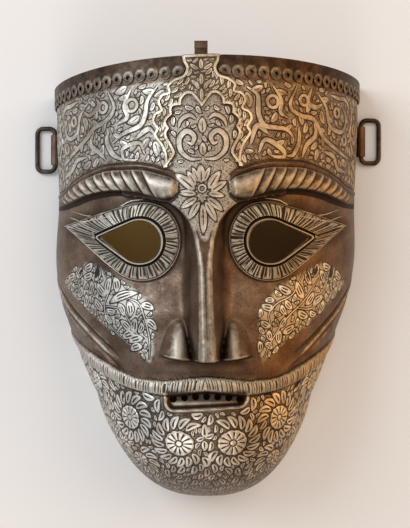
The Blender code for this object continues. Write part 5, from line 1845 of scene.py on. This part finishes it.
def plate_finish():
    """Brown patina that is worn silver on the polished fields and on the high places and dark in the
    hollows, with painted shade in the mouth, by the nose and in the sockets, dark cuts, some of them
    painted shadow, a golden brown inside, and a golden tint towards the right that is painted warm light."""
    n = Nodes(bpy.data.materials.new("patinated_plate"))
    worn = n.field("worn")
    # Silver, with painted light on the left side and painted highlights on the nose's wings and the brow's
    # crests
    silver_and_painted_light = n.field("silver_and_painted_light")
    cut = n.field("cut")
    ragged = n.math("MULTIPLY", n.math("SUBTRACT", n.noise(260.0, 5.0, 0.7), 0.5), 1.5)
    rubbed = n.math("ADD", silver_and_painted_light, n.math("MULTIPLY", n.steps(worn, 0.03, 0.3), 0.6))
    rubbed = n.steps(n.math("ADD", rubbed, ragged), 0.1, 0.95)
    rubbed = n.math("SUBTRACT", rubbed, n.steps(worn, -0.05, -0.35), clamp=True)
    silver = n.mix(n.noise(420.0, 3.0), SILVER, SILVER_BRIGHT)
    colour = n.mix(rubbed, patina(n), silver)
    colour = n.mix(n.steps(worn, -0.05, -0.4, 0.0, 0.7), colour, BROWN_DARK)
    # Painted shade: darkens the mouth, the grooves and base of the nose and the sockets
    colour = n.mix(n.field("painted_shade"), colour, BROWN_DARK)
    punched = n.steps(n.noise(1500.0, 2.0, 0.5), 0.44, 0.6, 0.0, 0.6)
    colour = n.mix(n.math("MULTIPLY", n.field("matted"), punched), colour, BROWN_DARK)
    colour = n.mix(n.math("MULTIPLY", cut, 0.9), colour, CUT_DARK)
    colour = n.mix(n.steps(n.field("inner"), 0.4, 0.8), colour, GOLDEN)
    rough = n.math("ADD", 0.3, n.grain(0.28, 240.0, 4.0))
    dull = n.math("MAXIMUM", n.math("MAXIMUM", cut, n.field("painted_shade")), n.math("MULTIPLY", rubbed, 0.4))
    rough = n.math("ADD", rough, n.math("MULTIPLY", dull, 0.2))
    height = n.math("ADD", n.grain(0.5, 95.0, 3.0), n.grain(0.18, 900.0, 3.0))
    return n.surface(n.golden(colour), 0.92, rough, height, 0.6, 0.5)


def ornament_finish(name, light, dark, vein, strokes=False, rust=0.7, browned=None):
    """Silvered blades with dark edges and either a dark wedge cut down the middle or
    two dark strokes beside it; browned gives the heights between which they darken."""
    n = Nodes(bpy.data.materials.new(name))
    along, across, edge = n.parts(n.add("ShaderNodeAttribute", attribute_name="blade").outputs["Vector"])
    off_middle = n.math("ABSOLUTE", across)
    if strokes:
        off_middle = n.math("ABSOLUTE", n.math("SUBTRACT", off_middle, 0.38))
        wedge = n.steps(off_middle, vein, vein + 0.14, 1.0, 0.0)
        wedge = n.math("MULTIPLY", wedge, n.steps(along, 0.25, 0.36))
    else:
        reach = n.math("MULTIPLY", n.math("SUBTRACT", 1.0, along), vein)
        wedge = n.steps(n.math("SUBTRACT", off_middle, reach), -0.06, 0.1, 1.0, 0.0)
        wedge = n.math("MULTIPLY", wedge, n.steps(along, 0.1, 0.24))
    wedge = n.math("MULTIPLY", wedge, n.steps(along, 0.84, 0.66))
    cut = n.math("MAXIMUM", wedge, n.steps(edge, 0.15, 0.55))
    tone = n.noise(130.0, 5.0, 0.7)
    colour = n.mix(n.steps(tone, 0.36, 0.62), dark, light)
    rusty = n.steps(n.noise(420.0, 4.0, 0.7), 0.55, 0.75, 0.0, rust)
    colour = n.mix(rusty, colour, BROWN)
    if browned:
        uneven = n.math("MULTIPLY", n.math("SUBTRACT", tone, 0.5), 0.03)
        level = n.math("ADD", n.parts(n.place)[1], uneven)
        colour = n.mix(n.steps(level, *browned, 0.0, 0.75), colour, BROWN)
    colour = n.mix(n.math("MULTIPLY", cut, 0.95), colour, CUT_DARK)
    # Painted warm light: the blades turn golden towards the right
    colour = n.golden(colour, PALE_PAINTED_WARM_TINT if strokes else PAINTED_WARM_TINT)
    rough = n.math("ADD", 0.3, n.grain(0.25, 500.0, 3.0))
    height = n.math("SUBTRACT", n.grain(0.2, 1200.0, 2.0), n.math("MULTIPLY", cut, 0.4))
    return n.surface(colour, 0.95, rough, height, 0.5, 0.3)


def plain_finish(name, low, high, rough_low, scale=160.0, rubbed=False):
    """Dark patinated steel or iron with rubbed patches, and rubbed edges where the mesh has them stored,
    tinted golden towards the right as painted warm light."""
    n = Nodes(bpy.data.materials.new(name))
    tone = n.steps(n.noise(scale, 5.0, 0.65), 0.32, 0.7)
    colour = n.mix(tone, low, high)
    if rubbed:
        patches = n.steps(n.noise(300.0, 4.0), 0.3, 0.6, 0.25, 0.9)
        bright = n.math("MULTIPLY", n.field("rubbed"), patches, clamp=True)
        colour = n.mix(bright, colour, SILVER)
    specks = n.steps(n.noise(1300.0, 2.0), 0.54, 0.74, 0.0, 0.6)
    colour = n.mix(specks, colour, BROWN_DARK)
    rough = n.math("ADD", rough_low, n.grain(0.3, 420.0, 4.0))
    height = n.math("ADD", n.grain(0.3, 700.0, 3.0), n.grain(0.4, 120.0))
    return n.surface(n.golden(colour), 0.9, rough, height, 0.5, 0.4)


def floor_finish():
    """Matt white paper. Where the mask covers it, painted bounce light and painted shadow show through
    the holes: golden, darker to the right and nearly black under the mouth."""
    n = Nodes(bpy.data.materials.new("pale_floor"))
    colour = n.mix(n.noise(6.0, 2.0), (0.80, 0.785, 0.77, 1.0), (0.84, 0.83, 0.82, 1.0))
    x, y, _ = n.parts(n.place)
    across = n.math("DIVIDE", x, 72.0 * MM)
    up = n.math("DIVIDE", n.math("SUBTRACT", y, 10.0 * MM), 95.0 * MM)
    far = n.math("ADD", n.math("MULTIPLY", across, across), n.math("MULTIPLY", up, up))
    # Painted bounce light and painted shadow under the mask
    painted_bounce_and_shadow = n.mix(n.steps(x, -25.0 * MM, 10.0 * MM), (0.95, 0.76, 0.33, 1.0), (0.3, 0.18, 0.07, 1.0))
    painted_bounce_and_shadow = n.mix(n.steps(y, -5.0 * MM, -30.0 * MM), painted_bounce_and_shadow, (0.1, 0.08, 0.05, 1.0))
    colour = n.mix(n.steps(far, 0.7, 0.95), painted_bounce_and_shadow, colour)
    return n.surface(colour, 0.0, 0.85, n.noise(900.0, 2.0), 0.1, 0.1)


# Scene

FLOOR_HALF = 3000.0
SENSOR_WIDTH = 36.0
FOCAL_PIXELS = 1076.0
PICTURE_HEIGHT = 528.0
CAMERA_PLACE = (-1.7, 10.0, 600.0)


def build_mask():
    """Every shown piece of the mask."""
    plate = plate_finish()
    mask_plate(plate)
    moustache_skin(plate)
    silver = ornament_finish("chiselled_silver", (0.84, 0.8, 0.72, 1.0), (0.58, 0.52, 0.44, 1.0), 0.24)
    cheek = ornament_finish("cheek_silver", (0.76, 0.74, 0.69, 1.0), (0.48, 0.45, 0.4, 1.0), 0.13, True, 0.4)
    forehead = ornament_finish("forehead_silver", (0.64, 0.61, 0.55, 1.0), (0.32, 0.28, 0.23, 1.0), 0.12,
                               rust=0.85)
    chin = ornament_finish("chin_silver", (0.9, 0.88, 0.82, 1.0), (0.6, 0.56, 0.49, 1.0), 0.4, rust=0.6,
                           browned=CHIN_BROWNED)
    bead = ornament_finish("plaque_silver", (0.85, 0.8, 0.68, 1.0), (0.48, 0.4, 0.29, 1.0), 0.3, rust=0.8)
    band = plain_finish("band_patina", BROWN_DARK, BROWN, 0.34, rubbed=True)
    plaque = plain_finish("plaque_patina", (0.08, 0.055, 0.035, 1.0), (0.3, 0.24, 0.17, 1.0), 0.34, 260.0)
    iron = plain_finish("loop_iron", (0.03, 0.022, 0.02, 1.0), (0.12, 0.09, 0.075, 1.0), 0.3)
    for label, side in SIDES.items():
        ornament("forehead_scrolls_" + label, forehead_scrolls(side), forehead)
        ornament("cheek_vine_" + label, cheek_vine(label), cheek)
        ornament("lid_lines_" + label, lid_lines(side), silver)
        eye_ring(label, plate)
        brow_skin(label, plate)
        rim_band(label, band)
        strap_loop(label, iron)
    ornament("cartouche_palmette", cartouche_palmette(), silver)
    ornament("bridge_flower", bridge_flower(), silver)
    flowers, swirls = chin_ornament()
    ornament("chin_rosettes", flowers, chin)
    for label in SIDES:
        ornament("chin_leaves_" + label, swirls[label], chin)
    forehead_plaque(plaque)
    ornament("plaque_relief", plaque_relief(), bead)
    steel = plain_finish("small_parts_patina", BROWN, BROWN_LIGHT, 0.36)
    for name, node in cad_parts.items():
        if name == "top_hook" or "hinge" in name or "rivet" in name:
            node.data.materials.clear()
            node.data.materials.append(steel)


def area_light(name, place, size, power, colour):
    """A soft square lamp that faces the mask; its place and size are in metres."""
    lamp = bpy.data.lights.new(name, "AREA")
    lamp.size = size
    lamp.energy = power
    lamp.color = colour
    shown = placed(name, lamp)
    shown.location = place
    shown.rotation_euler = (Vector((0.0, 0.0, 0.04)) - Vector(place)).to_track_quat("-Z", "Y").to_euler()


def room():
    """Soft surroundings, cool on one side, warm on the other, brighter overhead and
    pale at the horizon."""
    n = Nodes(bpy.data.worlds.new("room"), "Generated")
    x, _, z = n.parts(n.place)
    warm = n.math("MULTIPLY", n.steps(x, -0.5, 0.8), n.steps(z, 0.07, 0.13))
    light = n.tree.nodes["Background"].inputs
    n.put(light["Color"], n.mix(warm, (0.84, 0.88, 0.95, 1.0), (0.72, 0.4, 0.14, 1.0)))
    n.put(light["Strength"], n.steps(z, 0.8, 1.0, 0.42, 0.72))
    return n.owner


def studio():
    """Floor, lamps, pale surroundings and the camera straight above the mask."""
    half = FLOOR_HALF
    corners = [(-half, -half, 0.0), (half, -half, 0.0), (half, half, 0.0), (-half, half, 0.0)]
    mesh = mesh_from("floor", corners, [(0, 1, 2, 3)])
    mesh.materials.append(floor_finish())
    placed("floor", mesh)
    area_light("cool_window", (-0.7, 0.45, 0.75), 0.7, 6.8, (0.9, 0.95, 1.0))
    area_light("warm_lamp", (0.75, -0.05, 0.26), 0.7, 1.9, (1.0, 0.6, 0.26))
    area_light("right_fill", (0.65, 0.55, 0.95), 0.8, 4.5, (1.0, 0.97, 0.92))
    area_light("low_fill", (-0.15, -0.75, 0.6), 0.6, 2.2, (1.0, 0.98, 0.95))
    bpy.context.scene.world = room()
    bpy.context.scene.view_settings.view_transform = "Standard"
    camera = bpy.data.cameras.new("camera")
    camera.sensor_width = SENSOR_WIDTH
    camera.lens = SENSOR_WIDTH * FOCAL_PIXELS / PICTURE_HEIGHT
    camera.clip_start = 0.01
    shown = placed("camera", camera)
    shown.location = Vector(CAMERA_PLACE) * MM
    bpy.context.scene.camera = shown


build_mask()
studio()
bpy.context.view_layer.update()
